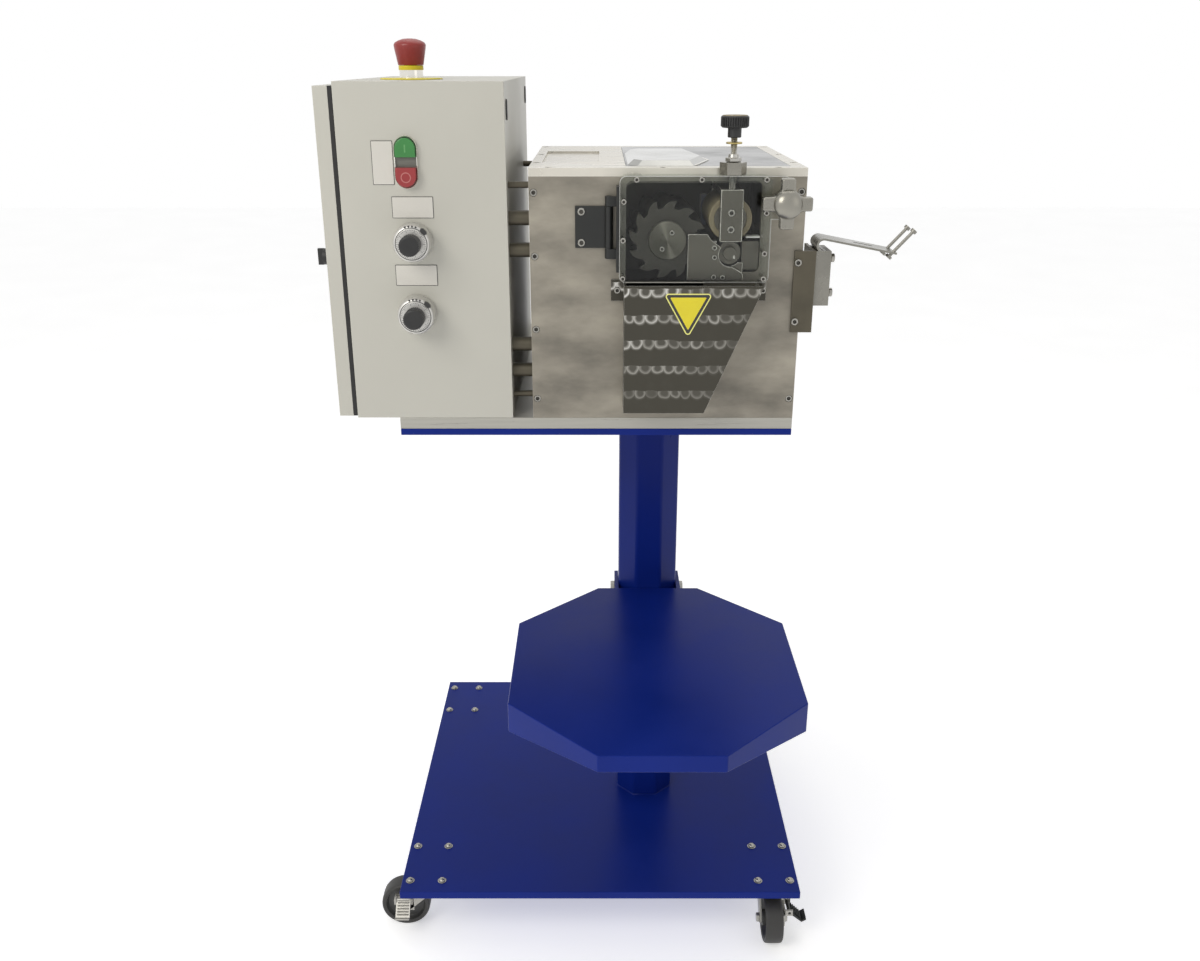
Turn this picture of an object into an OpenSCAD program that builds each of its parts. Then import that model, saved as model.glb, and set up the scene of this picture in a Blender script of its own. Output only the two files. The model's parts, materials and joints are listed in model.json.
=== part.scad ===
// Strand pelletizer on a wheeled stand, with its control cabinet and its collecting shelf
// Front is -Y, up is +Z, and the origin lies on the floor under the middle of the whole machine

/* [Stand] */
// Side of the square base plate
base_side = 610; // [580:1:680]
// Thickness of the base plate
base_t = 12.7; // [10:0.1:16]
// Width of the eight-sided column across its flats
column_w = 92; // [84:1:104]
// Wall of the column tube
column_wall = 6; // [4:0.5:9]
// Height of the column
column_h = 728; // [660:1:800]
// Column's place to the right of the base plate's middle
column_x = 76; // [60:1:90]
// Column's place behind the base plate's middle
column_y = -20; // [-40:1:0]

/* [Casters] */
// Diameter of a caster wheel
wheel_d = 76; // [70:1:80]
// Width of the tread
tread_w = 28; // [24:1:30]
// Floor to the underside of the base plate
caster_h = 95.3; // [94:0.1:104]
// How far the wheel trails behind its swivel
caster_trail = 40; // [36:1:42]
// Caster bolts, side to side
caster_bolt_x = 49; // [44:1:54]
// Caster bolts, front to back
caster_bolt_y = 80; // [74:1:84]

/* [Shelf] */
// Width of the collecting shelf
tray_w = 394; // [350:1:440]
// Depth of the collecting shelf
tray_d = 457; // [420:1:500]
// Length that each corner is cut back along both sides
tray_corner = 118; // [90:1:130]
// Height of the shelf above the base plate
tray_up = 396; // [340:1:460]
// Sheet of the shelf
tray_t = 3; // [2:0.5:5]
// Skirt at the front
skirt_front = 24; // [18:1:30]
// Skirt at the sides
skirt_side = 44; // [38:1:52]

/* [Table] */
// Width of both table plates
table_w = 506; // [500:1:520]
// Depth of both table plates
table_d = 546; // [530:1:590]
// Middle of the table, right of the base plate's middle
table_x = -5; // [-12:1:2]
// Painted lower plate
table_t = 8.8; // [6:0.1:12]
// Bare upper plate
mount_t = 15; // [10:0.5:20]

/* [Machine box] */
// Width of the machine box
box_w = 334; // [330:1:344]
// Depth of the machine box
box_d = 354; // [350:1:420]
// Height of the machine box
box_h = 311.5; // [304:0.5:330]
// Thickness of its front plate
front_t = 10; // [8:0.5:12]
// Thickness of its side plates
side_t = 12; // [10:0.5:14]
// Thickness of its top plate
top_t = 10; // [8:0.5:12]
// Depth of the cutting chamber behind the front plate
chamber_d = 90; // [84:1:94]

/* [Cutting] */
// Diameter over the rotor's teeth
rotor_d = 94; // [88:1:96]
// Number of rotor teeth
rotor_teeth = 12; // [8:1:16]
// Length of the rotor and of both feed rolls
roll_len = 100; // [94:1:100]
// Rotor shaft
shaft_d = 30; // [24:1:34]
// Upper feed roll
upper_roll_d = 52; // [48:1:54]
// Lower feed roll
lower_roll_d = 28; // [26:1:29]
// Width of the bed knife
knife_w = 13; // [10:0.5:13.5]
// Gap between the rotor's teeth and the bed knife
knife_gap = 0.4; // [0.3:0.1:1]
// Lift of the upper feed roll
roll_lift = 6; // [3:0.5:6]

/* [Guard and chute] */
// Width of the clear guard
guard_w = 180; // [176:1:184]
// Height of the clear guard
guard_h = 125; // [120:1:128]
// How far the guard stands out
guard_out = 30; // [27:1:34]
// Sheet of the guard's face
guard_t = 6; // [4:0.5:7]
// How far the chute stands out
chute_out = 45; // [38:1:60]
// Width of the chute's mouth at the bottom
mouth_w = 100; // [90:1:116]
// Height of the chute's mouth above the table
mouth_up = 20; // [12:1:30]

/* [Cabinet] */
// Width of the cabinet without its door
cab_w = 200; // [190:1:220]
// Depth of the cabinet
cab_d = 406; // [380:1:450]
// Height of the cabinet
cab_h = 408.5; // [390:0.5:430]
// Gap between the cabinet and the machine box
cab_gap = 26; // [20:1:32]
// Depth of the door's pan
door_t = 17.5; // [15:0.5:22]
// Diameter of the speed dials
dial_d = 46; // [40:1:50]
// Diameter of the emergency stop's cap
estop_d = 40; // [36:1:44]

/* [Hidden] */
$fn = 48;

// Fits and overruns
cut = 1;          // overrun of every cut
run_fit = 0.05;   // radial clearance of a shaft in its bearing
gap = 0.3;        // clearance between pieces that move past each other
bolt_fit = 0.2;   // radial clearance of a bolt in its hole

// Levels, from the floor up
base_top = caster_h + base_t;
tray_z = base_top + tray_up;
table_z = base_top + column_h;
mount_z = table_z + table_t;
deck = mount_z + mount_t;
box_top = deck + box_h;
cab_top = deck + cab_h;

// Fronts, backs and sides
front_y = column_y - table_d / 2;
table_left = table_x - table_w / 2;
table_right = table_x + table_w / 2;
table_back = front_y + table_d;
box_right = table_right;
box_left = box_right - box_w;
box_back = front_y + box_d;
cab_right = box_left - cab_gap;
cab_left = cab_right - cab_w;
cab_back = front_y + cab_d;

// Casters
wheel_r = wheel_d / 2;
caster_in_x = 37;     // swivel to the base plate's side edge
caster_in_y = 65;     // swivel to the base plate's front or back edge
caster_x = base_side / 2 - caster_in_x;
caster_y = base_side / 2 - caster_in_y;
caster_plate_over = 17;  // edge of the caster plate beyond its bolts, both sides together
caster_plate_t = 3;
race_r = 24;
race_h = 6.3;
crown_r = 27;
crown_t = 3.5;
kingpin_r = 6;
kingpin_nut_r = 10;
kingpin_nut_h = 4;
fork_t = 3;
fork_side_gap = 2;    // tread to fork leg
axle_r = 4;
axle_head_r = 7;
axle_head_h = 5;
hub_r = 12;
web_r = 29;
rim_r = 32;
web_half = 5;
tread_bevel = 3;
fork_top_half = 18;
fork_boss_r = 9;
caster_bolt_r = 4;
caster_head_r = 6.5;
caster_head_h = 5.5;
caster_nut_h = 6;
race_top = caster_h - caster_plate_t;
crown_top = race_top - race_h - gap;
crown_low = crown_top - crown_t;
leg_in = tread_w / 2 + fork_side_gap;
leg_out = leg_in + fork_t;
// Each caster: side of the base plate, front or back, and the way that its wheel trails
CASTERS = [[-1, -1, 180], [1, -1, -90], [-1, 1, -90], [1, 1, -90]];

// Brake pedals of the front casters
pedal_up = 20;        // pedal pivot above the axle
pedal_side = 6;       // pedal pivot beyond the fork leg
pedal_w = 22;
pedal_t = 3;
pedal_pin_r = 3;
pedal_reach = 20;
pedal_drop = 20;
pedal_toe = 7;
ear_t = 3;
ear_h = 10;

// Shelf
tray_back = column_y - column_w / 2 - gap;
tray_x = column_x;
tray_front = tray_back - tray_d;
bracket_t = 6;
bracket_h = 38;
bracket_run = 200;
bracket_behind = 24;
tray_bolt_r = 6;
tray_bolt_drop = 20;
tray_bolt_z = tray_z - tray_bolt_drop;
tray_head_r = 9;
tray_head_h = 6.5;

// Table bolts
table_bolt_r = 4;
table_bolt_head_r = 7;
table_bolt_head_h = 5;
table_bolt_in = 40;
table_bolt_depth = 10;

// Cutting head
rotor_in = 167;
rotor_x = box_left + rotor_in;
rotor_drop = 83.7;
rotor_z = box_top - rotor_drop;
rotor_r = rotor_d / 2;
tooth_h = 9;
rotor_root_r = rotor_r - tooth_h;
rotor_out = 7;
rotor_front = front_y - rotor_out;
rotor_twist = 14;
shaft_r = shaft_d / 2;
cap_r = 23;
cap_t = 9;
cap_bevel = 2;
strand_drop = 1.5;
strand_z = rotor_z - strand_drop;
roll_from_rotor = 76;
roll_x = rotor_x + roll_from_rotor;
lower_r = lower_roll_d / 2;
upper_r = upper_roll_d / 2;
lower_z = strand_z - lower_r;
upper_z = strand_z + gap + upper_r;
roll_shaft_r = 8;
wall_y = front_y + front_t + chamber_d;
wall_t = 15;
wall_back = wall_y + wall_t;
tooth_back_share = 0.2;
tooth_gullet_share = 0.73;
tooth_root_share = 1.07;
tooth_land_share = 0.985;

// Guard
guard_from_rotor = 58;
guard_left = rotor_x - guard_from_rotor;
guard_right = guard_left + guard_w;
guard_drop = 7;
guard_top = box_top - guard_drop;
guard_low = guard_top - guard_h;
guard_wall = 8;
guard_front = front_y - guard_out;
guard_round = 8;
ear_w = 23;
ear_drop = 50;
guard_ear_round = 10;
hinge_out = 12.2;
hinge_x = guard_left - hinge_out;
hinge_stand = 6;
hinge_y = front_y - hinge_stand;
hinge_r = 5;
hinge_pin_r = 2.5;
hinge_leaf_t = 3;
hinge_leaf_w = 41;
hinge_up = 25.5;
hinge_z0 = guard_low + hinge_up;      // underside of the lowest knuckle
knuckle_h = 12;
hinge_mid_h = 50;
strip_t = 3.5;
strip_h = 101;
strip_up = 12;
strip_z0 = guard_low + strip_up;
star_out = 14;
star_x = guard_right + star_out;
star_drop = 29;
star_z = guard_top - star_drop;
star_lobe_r = 7;
star_lobe_at = 22;
star_core_r = 16;
star_t = 15;
star_ball_r = 12;
star_neck_r = 9;
star_neck_h = 13;
stud_r = 4;
stud_hole_r = 5.5;
stud_in = 8;
post_r = 9;

// Upper roll's carrier and its adjusting screw
cheek_w = 27;
cheek_front_t = 11;
cheek_back_t = 6;
bridge_h = 8;
bridge_clear = 1.5;
cheek_low = 26;       // front cheek below the roll's axis
screw_r = 4;
screw_y = rotor_front - cheek_front_t / 2 - gap;
screw_in = 14;
boss_flats = 28;
boss_h = 14.5;
boss_z = guard_top + gap;
nut_r = 9.5;
nut_h = 5;
washer_up = 35;
washer_z = boss_z + washer_up;
washer_t = 2;
neck_up = 42;
neck_z = boss_z + neck_up;
neck_r = 8;
neck_h = 11;
knob_r = 16.5;
knob_h = 14;
bridge_z = upper_z + upper_r + bridge_clear;
carrier_top = bridge_z + bridge_h;

// Knife
holder_from_rotor = 25;
holder_left = rotor_x + holder_from_rotor;
holder_past_roll = 17;
holder_right = roll_x + holder_past_roll;
holder_plate_t = 7;
holder_plate_step = 9;  // height of the plate's right edge
holder_over_strand = 9;
holder_plate_top = strand_z + holder_over_strand;
knife_left = rotor_x + rotor_r + knife_gap;
knife_h = 26;
roll_clear = 2.2;
upper_clear = 4;

// Drive
bearing_r = 27;
bearing_w = 15;
cartridge_r = 34;
cartridge_len = 68;
belt_gap = 15;
belt_w = 25;
belt_t = 4;
belt_y = wall_back + cartridge_len + belt_gap;
pulley_r = 36;
motor_pulley_r = 28;
flange_t = 2;
flange_up = 3;
motor_from_rotor = 81;
motor_x = rotor_x - motor_from_rotor;
motor_up = 72;
motor_z = deck + motor_up;
motor_r = 58;
motor_from_belt = 10;
motor_y = belt_y + belt_w + motor_from_belt;
rear_t = 3;
motor_rear_room = 10;
motor_len = box_back - rear_t - motor_rear_room - motor_y;
motor_shaft_r = 8;
motor_bore = 30;
foot_w = 96;
gear_w = 72;
gear_len = 60;
feed_motor_r = 31;
feed_motor_len = 80;
gear_bore = 35;

// Chute
chute_sheet = 2.5;
chute_drop = 0.8;
chute_top = guard_low - chute_drop;
chute_low = deck + mouth_up;
chute_in = 6;
chute_left = guard_left + chute_in;
chute_w = guard_w - chute_in * 2;
port_h = 46;
tab_w = 15.5;
tab_h = 26;
tab_t = 3;
tab_slot = 4;
small_head_r = 4.5;
small_head_h = 3;

// Top plate
recess_x0 = 13;
recess_x1 = 85;
recess_y0 = 74;
recess_y1 = 254;
recess_deep = 3;
window_x0 = 117;
window_x1 = 317;
window_y0 = 22;
window_y1 = 340;
window_rest = 6;
window_t = 5;
hump_w = 102;
hump_d = 208;
hump_in = 3;
hump_h = 6;
hump_bevel = 8;

// Panel screws
screw_in_edge = 6;
cap_screw_r = 4.6;
cap_screw_h = 4;
sunk = 0.4;           // screw head below the surface
cap_shank_r = 2.4;
cap_shank = 16;

// Strand guide on the right
plate_low_drop = 115;
plate_low = rotor_z - plate_low_drop;
plate_high_drop = 14;
plate_high = rotor_z - plate_high_drop;
plate_in = 10.5;
plate_out = 16;
guide_t = 4;
guide_leg = 60;
block_w = 19;
block_low_drop = 82;
block_low = rotor_z - block_low_drop;
block_high_drop = 15;
block_high = rotor_z - block_high_drop;
block_d = 50;
guide_bolt_r = 3;
guide_bolt_head_r = 5.5;
guide_bolt_head_h = 5;
ramp_t = 2.5;
ramp_d = 44;
ramp_len = 90;
ramp_tilt = 11;
curl_r = 9;
curl_past = 25;       // how far the curl's lower end runs past straight down
ramp_slot_w = 6;
ramp_slot_len = 24;
ramp_slot_at = 39;
pin_r = 2;
pin_len = 34;
pin_head_r = 4;
pin_head_h = 4;
pin_tilt = 42;
pin_at = 85;
pin_step = 30;
guide_nut_r = 4.5;
guide_nut_h = 3.5;
guide_play = 4;

// Links between the boxes
link_r = 4;
conduit_r = 9;
link_in_y = 23;
link_back_y = 40;
link_high = 22;
link_low = 26;
conduit_zs = [58, 92, 211, 250];

// Cabinet
cab_wall = 2;
cab_flange = 12;
gasket_t = 5.7;
gasket_w = 10;
door_down = 5;
door_up = 2;
door_in = 2;
door_x1 = cab_left - gasket_t - gap;
door_x0 = door_x1 - door_t;
door_low = deck + door_up;
door_high = cab_top - door_down;
door_hinge_out = 6;
door_hinge_x = cab_left - door_hinge_out;
door_hinge_back = 5;
door_hinge_y = cab_back + door_hinge_back;
door_knuckle_r = 5;
door_pin_r = 2.5;
door_knuckle_h = 20;
door_hinge_in = 50;
latch_in = 24;
latch_y = front_y + latch_in;
latch_z = (door_low + door_high) / 2;
latch_r = 10;
latch_out = 8;
latch_shaft_r = 5;
latch_handle_t = 5;
latch_handle_h = 7;
cam_len = 17;
cam_w = 10;
cam_t = 3;
controls_in = 82;
controls_x = cab_left + controls_in;
dials_in = 86;
dials_x = cab_left + dials_in;
start_drop = 74.5;
start_z = cab_top - start_drop;
stop_drop = 106.5;
stop_z = cab_top - stop_drop;
bezel_w = 28;
bezel_out = 5;
press_r = 11;
press_out = 8;
press_in = 12;
press_travel = 4;
stop_proud = 3;
press_body_r = 13.5;
press_body_len = 40;
dial_drop = 183.3;
dial_step = 88;
dial_zs = [cab_top - dial_drop, cab_top - dial_drop - dial_step];
dial_out = 25;
dial_r = dial_d / 2;
dial_knob_r = 12.5;
dial_knob_out = 19;
dial_shaft_r = 3;
dial_shaft_in = 18;
estop_in = 74.5;
estop_x = cab_left + estop_in;
estop_back = 121;
estop_y = front_y + estop_back;
estop_body_r = 14.75;
estop_body_h = 12;
legend_r = 39;
legend_t = 1.6;
estop_gap = 6.4;
estop_cap_z = cab_top + legend_t + estop_body_h + estop_gap;
estop_cap_h = 20;
estop_dome = 8;
estop_stem_r = 8;
estop_stem_in = 20;
estop_travel = 5;
estop_under_r = 17;
drive_w = 62;
drive_h = 150;
drive_d = 90;
drive_plate_t = 3;
drive_margin = 20;
drive_stand = 8;
gland_in = 100;
gland_x = cab_left + gland_in;
gland_up = 45;
gland_z = deck + gland_up;
gland_r = 6.5;
gland_body_r = 15;
gland_out = 26;
gland_nut_r = 17;
gland_nut_t = 5;

// Smaller places and shares
front_screw_left_shares = [0.082, 0.371, 0.663, 0.907];
front_screw_right_shares = [0.082, 0.91];
top_screw_depth_shares = [0.2, 0.56, 0.95];
top_screw_width_shares = [0.073, 0.483, 0.897];
strand_margin = 7;    // roll ends to the strand slot's ends
slot_half = 12;
port_past = 22;
vent_count = 6;
vent_side = 110;
vent_up = 150;
vent_pitch = 18;
vent_h = 6;
vent_round = 2.4;
lining_t = 3;
floor_back = 6;
bearing_lip = 5;
bush_r = 12;
foot_in = 12;
rotor_clear = 1.2;
lower_show = 2;
plate_top_w = 3;
post_h = 8;
rotor_slices = 4;
shaft_past = 5;
lower_stub = 7;
plate_screw_in = 14;
cheek_skin = 3;
screw_way = 2.5;
strip_past = 2;
guide_bolt_in = 12;
pin_near = 5;
press_sleeve = 1;
dial_pot_r = 8;
dial_pot_len = 30;
door_leaf_t = 3;
bezel_over = 4;
bezel_round = 12.7;
drive_near = 60;

// Overall reach, from which the origin is set under the middle of the machine
wheel_reach = -caster_x - caster_trail - wheel_r;
latch_reach = door_x0 - latch_out - latch_handle_h;
left_reach = min(wheel_reach, latch_reach);
block_x = box_right + plate_out + gap;
ramp_x = block_x + curl_r + (curl_r - ramp_t) * sin(ramp_tilt);
pin_tip_x = ramp_x + pin_at * cos(ramp_tilt) + (pin_len + pin_head_h) * sin(pin_tilt)
  + pin_head_r * cos(pin_tilt);
right_reach = max(pin_tip_x, base_side / 2);
front_reach = min(tray_front, -base_side / 2);
back_reach = max(base_side / 2, table_back);
cart_x = -(left_reach + right_reach) / 2;
cart_y = -(front_reach + back_reach) / 2;

// Draws about the middle of the base plate, and moves the result to the part's own origin
module on_cart() translate([cart_x, cart_y, 0]) children();

// A block between two corners
module block(low, high) translate(low) cube(high - low);

// A round bar along X, Y or Z
module bar_x(x0, x1, y, z, r) translate([x0, y, z]) rotate([0, 90, 0]) cylinder(r = r, h = x1 - x0);
module bar_y(y0, y1, x, z, r) translate([x, y0, z]) rotate([-90, 0, 0]) cylinder(r = r, h = y1 - y0);
module bar_z(z0, z1, x, y, r) translate([x, y, z0]) cylinder(r = r, h = z1 - z0);

// An outline in X and Z, given its depth along Y, and one in Y and Z, given its width along X
module slab_y(y0, y1) translate([0, y1, 0]) rotate([90, 0, 0]) linear_extrude(y1 - y0) children();
module slab_x(x0, x1) translate([x0, 0, 0]) rotate([90, 0, 90]) linear_extrude(x1 - x0) children();

// A rectangle between two corners, and one with round corners
module rect(low, high) translate(low) square(high - low);
module soft_rect(low, high, r) {
  rect([low[0] + r, low[1]], [high[0] - r, high[1]]);
  rect([low[0], low[1] + r], [high[0], high[1] - r]);
  for (x = [low[0] + r, high[0] - r], y = [low[1] + r, high[1] - r]) translate([x, y]) circle(r);
}

// Places of the four bolts of one caster
module caster_bolt_places() {
  for (x = [-1, 1], y = [-1, 1]) translate([x * caster_bolt_x / 2, y * caster_bolt_y / 2]) children();
}
module caster_places() for (c = CASTERS) translate([c[0] * caster_x, c[1] * caster_y, 0]) children();
module at_caster(i) {
  translate([CASTERS[i][0] * caster_x, CASTERS[i][1] * caster_y, 0]) rotate(CASTERS[i][2]) children();
}

module base_plate() on_cart() color("royalblue") difference() {
  block([-base_side / 2, -base_side / 2, caster_h], [base_side / 2, base_side / 2, base_top]);
  caster_places() caster_bolt_places()
    bar_z(caster_h - cut, base_top + cut, 0, 0, caster_bolt_r + bolt_fit);
}

// The eight-sided outline of the column, or of a smaller one inside it
module octagon(flats) rotate(180 / 8) circle(d = flats / cos(180 / 8), $fn = 8);

module column() on_cart() color("royalblue") difference() {
  translate([column_x, column_y, base_top]) linear_extrude(column_h) octagon(column_w);
  translate([column_x, column_y, base_top - cut]) linear_extrude(column_h + cut * 2)
    octagon(column_w - column_wall * 2);
  bar_x(column_x - column_w, column_x + column_w, column_y, tray_bolt_z, tray_bolt_r + bolt_fit);
}

// Places of the bolts that hold the two table plates together
module table_bolt_places() {
  for (x = [table_left + table_bolt_in, table_right - table_bolt_in],
       y = [front_y + table_bolt_in, (front_y + table_back) / 2, table_back - table_bolt_in])
    translate([x, y, 0]) children();
}

module table_plate() on_cart() color("royalblue") difference() {
  block([table_left, front_y, table_z], [table_right, table_back, mount_z]);
  table_bolt_places() bar_z(table_z - cut, mount_z + cut, 0, 0, table_bolt_r + bolt_fit);
}

module mounting_plate() on_cart() color("silver") difference() {
  block([table_left, front_y, mount_z], [table_right, table_back, deck]);
  table_bolt_places()
    bar_z(mount_z - cut, mount_z + table_bolt_depth + bolt_fit, 0, 0, table_bolt_r + bolt_fit);
}

// Outline of the shelf, drawn in by the given amount on every side
module tray_outline(inset) {
  w = tray_w / 2 - inset;
  near = tray_front + inset;
  far = tray_back - inset;
  c_in = tray_corner - inset * (2 - sqrt(2));
  translate([tray_x, 0]) polygon([
    [-w + c_in, near], [w - c_in, near], [w, near + c_in], [w, far - c_in],
    [w - c_in, far], [-w + c_in, far], [-w, far - c_in], [-w, near + c_in]
  ]);
}

module tray() on_cart() color("royalblue") difference() {
  translate([0, 0, tray_z - skirt_side]) linear_extrude(skirt_side) tray_outline(0);
  translate([0, 0, tray_z - skirt_side - cut]) linear_extrude(skirt_side - tray_t + cut)
    tray_outline(tray_t);
  slab_x(tray_x - tray_w, tray_x + tray_w) polygon([
    [tray_front + tray_corner, tray_z - skirt_side], [tray_front, tray_z - skirt_front],
    [tray_front - cut, tray_z - skirt_front], [tray_front - cut, tray_z - skirt_side - cut],
    [tray_front + tray_corner, tray_z - skirt_side - cut]
  ]);
  block([column_x - column_w / 2 - bracket_t - gap * 2, tray_back - tray_t - cut,
    tray_z - skirt_side - cut],
    [column_x + column_w / 2 + bracket_t + gap * 2, tray_back + cut, tray_z - tray_t]);
}

module tray_bracket() on_cart() color("royalblue") {
  low = tray_z - tray_t - bracket_h;
  high = tray_z - tray_t;
  fore = tray_back - bracket_run;
  difference() {
    union() {
      for (s = [-1, 1]) {
        x0 = column_x + s * (column_w / 2 + gap);
        x1 = x0 + s * bracket_t;
        block([min(x0, x1), fore, low], [max(x0, x1), column_y + bracket_behind, high]);
      }
      block([column_x - column_w / 2 - gap, fore, low],
        [column_x + column_w / 2 + gap, fore + bracket_t, high]);
    }
    bar_x(column_x - column_w, column_x + column_w, column_y, tray_bolt_z, tray_bolt_r + bolt_fit);
  }
}

// A cap screw sunk into a surface that faces +Z, and the stepped hole for it
module cap_screw() {
  bar_z(-cap_shank, -sunk - cap_screw_h, 0, 0, cap_shank_r);
  bar_z(-sunk - cap_screw_h, -sunk, 0, 0, cap_screw_r);
}
module screw_hole() {
  bar_z(-cap_shank - bolt_fit, cut, 0, 0, cap_shank_r + bolt_fit);
  bar_z(-sunk - cap_screw_h, cut, 0, 0, cap_screw_r + bolt_fit);
}

// A pan-head screw on a surface that faces +Z, and the plain hole for it
module pan_screw() {
  bar_z(-cap_shank, 0, 0, 0, cap_shank_r);
  bar_z(0, small_head_h, 0, 0, small_head_r);
}
module pan_hole() bar_z(-cap_shank - bolt_fit, cut, 0, 0, cap_shank_r + bolt_fit);

// Places of the screws that hold the chute, and of those that hold the strand guide's bracket
module tab_screws() {
  z = chute_top - tab_h / 2;
  for (x = [chute_left - tab_w / 2, chute_left + chute_w + tab_w / 4])
    translate([x, front_y - tab_t, z]) rotate([90, 0, 0]) children();
}
module plate_screws() for (z = [plate_low + plate_screw_in, plate_high - plate_screw_in])
  translate([box_right - screw_in_edge, front_y - guide_t, z]) rotate([90, 0, 0]) children();

// Places of the screws in the front plate, seen from the front
module front_screws() {
  for (s = front_screw_left_shares) translate([box_left + screw_in_edge, front_y, deck + s * box_h])
    rotate([90, 0, 0]) children();
  for (s = front_screw_right_shares) translate([box_right - screw_in_edge, front_y, deck + s * box_h])
    rotate([90, 0, 0]) children();
}

// Places of the screws in the top plate
module top_screws() {
  for (x = [box_left + screw_in_edge, box_right - screw_in_edge], s = top_screw_depth_shares)
    translate([x, front_y + s * box_d, box_top]) children();
  for (s = top_screw_width_shares) translate([box_left + s * box_w, front_y + screw_in_edge, box_top])
    children();
}

module fasteners() on_cart() color("dimgray") {
  caster_places() caster_bolt_places() {
    bar_z(caster_h - caster_plate_t - caster_nut_h, base_top + cut / 2, 0, 0, caster_bolt_r);
    bar_z(base_top, base_top + caster_head_h, 0, 0, caster_head_r);
    translate([0, 0, caster_h - caster_plate_t - caster_nut_h]) cylinder(r = caster_head_r,
      h = caster_nut_h, $fn = 6);
  }
  tray_bolt_x = column_w / 2 + gap + bracket_t;
  bar_x(column_x - tray_bolt_x - tray_head_h, column_x + tray_bolt_x + tray_head_h,
    column_y, tray_bolt_z, tray_bolt_r);
  for (x = [column_x - tray_bolt_x - tray_head_h, column_x + tray_bolt_x])
    translate([x, column_y, tray_bolt_z]) rotate([0, 90, 0]) cylinder(r = tray_head_r,
      h = tray_head_h, $fn = 6);
  table_bolt_places() {
    bar_z(table_z - cut / 2, mount_z + table_bolt_depth, 0, 0, table_bolt_r);
    bar_z(table_z - table_bolt_head_h, table_z, 0, 0, table_bolt_head_r);
  }
  front_screws() cap_screw();
  top_screws() cap_screw();
  tab_screws() pan_screw();
  plate_screws() pan_screw();
}

// Top plate, swivel race and kingpin of every caster
module caster_plates() on_cart() color("lightsteelblue") caster_places() {
  difference() {
    translate([0, 0, race_top]) linear_extrude(caster_plate_t)
      square([caster_bolt_x + caster_plate_over, caster_bolt_y + caster_plate_over], center = true);
    caster_bolt_places() bar_z(race_top - cut, caster_h + cut, 0, 0, caster_bolt_r + bolt_fit);
  }
  bar_z(race_top - race_h, race_top, 0, 0, race_r);
  bar_z(crown_low - gap - kingpin_nut_h, race_top - race_h, 0, 0, kingpin_r);
  bar_z(crown_low - gap - kingpin_nut_h, crown_low - gap, 0, 0, kingpin_nut_r);
}

// A caster's fork and axle bolt, its wheel trailing along +X
module fork(with_ears) color("lightsteelblue") {
  difference() {
    union() {
      bar_z(crown_low, crown_top, 0, 0, crown_r);
      for (s = [-1, 1]) {
        y0 = min(s * leg_in, s * leg_out);
        slab_y(y0, y0 + fork_t) {
          polygon([
            [-fork_top_half, crown_top], [-fork_top_half, crown_low - fork_t],
            [caster_trail - fork_boss_r, wheel_r], [caster_trail + fork_boss_r, wheel_r],
            [fork_top_half, crown_low - fork_t], [fork_top_half, crown_top]
          ]);
          translate([caster_trail, wheel_r]) circle(fork_boss_r);
        }
      }
      if (with_ears) {
        x1 = pedal_w / 2 + gap + ear_t;
        high = wheel_r + pedal_up + ear_h / 2;
        block([caster_trail - x1, leg_in, wheel_r - ear_h / 2], [caster_trail + x1, leg_out, high]);
        for (x = [caster_trail - x1, caster_trail + x1 - ear_t])
          block([x, leg_in, high - ear_h], [x + ear_t, leg_out + pedal_side + ear_h / 2, high]);
      }
    }
    bar_z(crown_low - cut, crown_top + cut, 0, 0, kingpin_r + run_fit);
    bar_y(-leg_out - cut, leg_out + cut, caster_trail, wheel_r, axle_r + run_fit);
    if (with_ears) bar_x(0, caster_trail * 2, leg_out + pedal_side, wheel_r + pedal_up,
      pedal_pin_r + run_fit);
  }
  bar_y(-leg_out - run_fit, leg_out + run_fit, caster_trail, wheel_r, axle_r);
  for (y = [-leg_out - run_fit - axle_head_h, leg_out + run_fit])
    bar_y(y, y + axle_head_h, caster_trail, wheel_r, axle_head_r);
}

// A wheel turned about its axle: hub, web, rim and bevelled tread
module wheel() color("dimgray") translate([caster_trail, 0, wheel_r]) rotate([90, 0, 0])
  rotate_extrude() polygon([
    [axle_r + run_fit, -leg_in + gap], [hub_r, -leg_in + gap], [hub_r, -web_half], [web_r, -web_half],
    [rim_r, -tread_w / 2 + tread_bevel], [wheel_r - tread_bevel, -tread_w / 2],
    [wheel_r, -tread_w / 2 + tread_bevel], [wheel_r, tread_w / 2 - tread_bevel],
    [wheel_r - tread_bevel, tread_w / 2], [rim_r, tread_w / 2 - tread_bevel], [web_r, web_half],
    [hub_r, web_half], [hub_r, leg_in - gap], [axle_r + run_fit, leg_in - gap]
  ]);

// A foot pedal on its own pin, reaching out and down beside the wheel
module pedal() color("gray") translate([caster_trail, leg_out + pedal_side, wheel_r + pedal_up]) {
  pin_half = pedal_w / 2 + ear_t + gap;
  bar_x(-pin_half, pin_half, 0, 0, pedal_pin_r);
  slab_x(-pedal_w / 2, pedal_w / 2) polygon([
    [0, pedal_pin_r], [pedal_reach, -pedal_drop + pedal_t], [pedal_reach + pedal_toe,
      -pedal_drop + pedal_toe],
    [pedal_reach + pedal_toe, -pedal_drop + pedal_toe - pedal_t], [pedal_reach, -pedal_drop],
    [0, -pedal_pin_r]
  ]);
}

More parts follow.
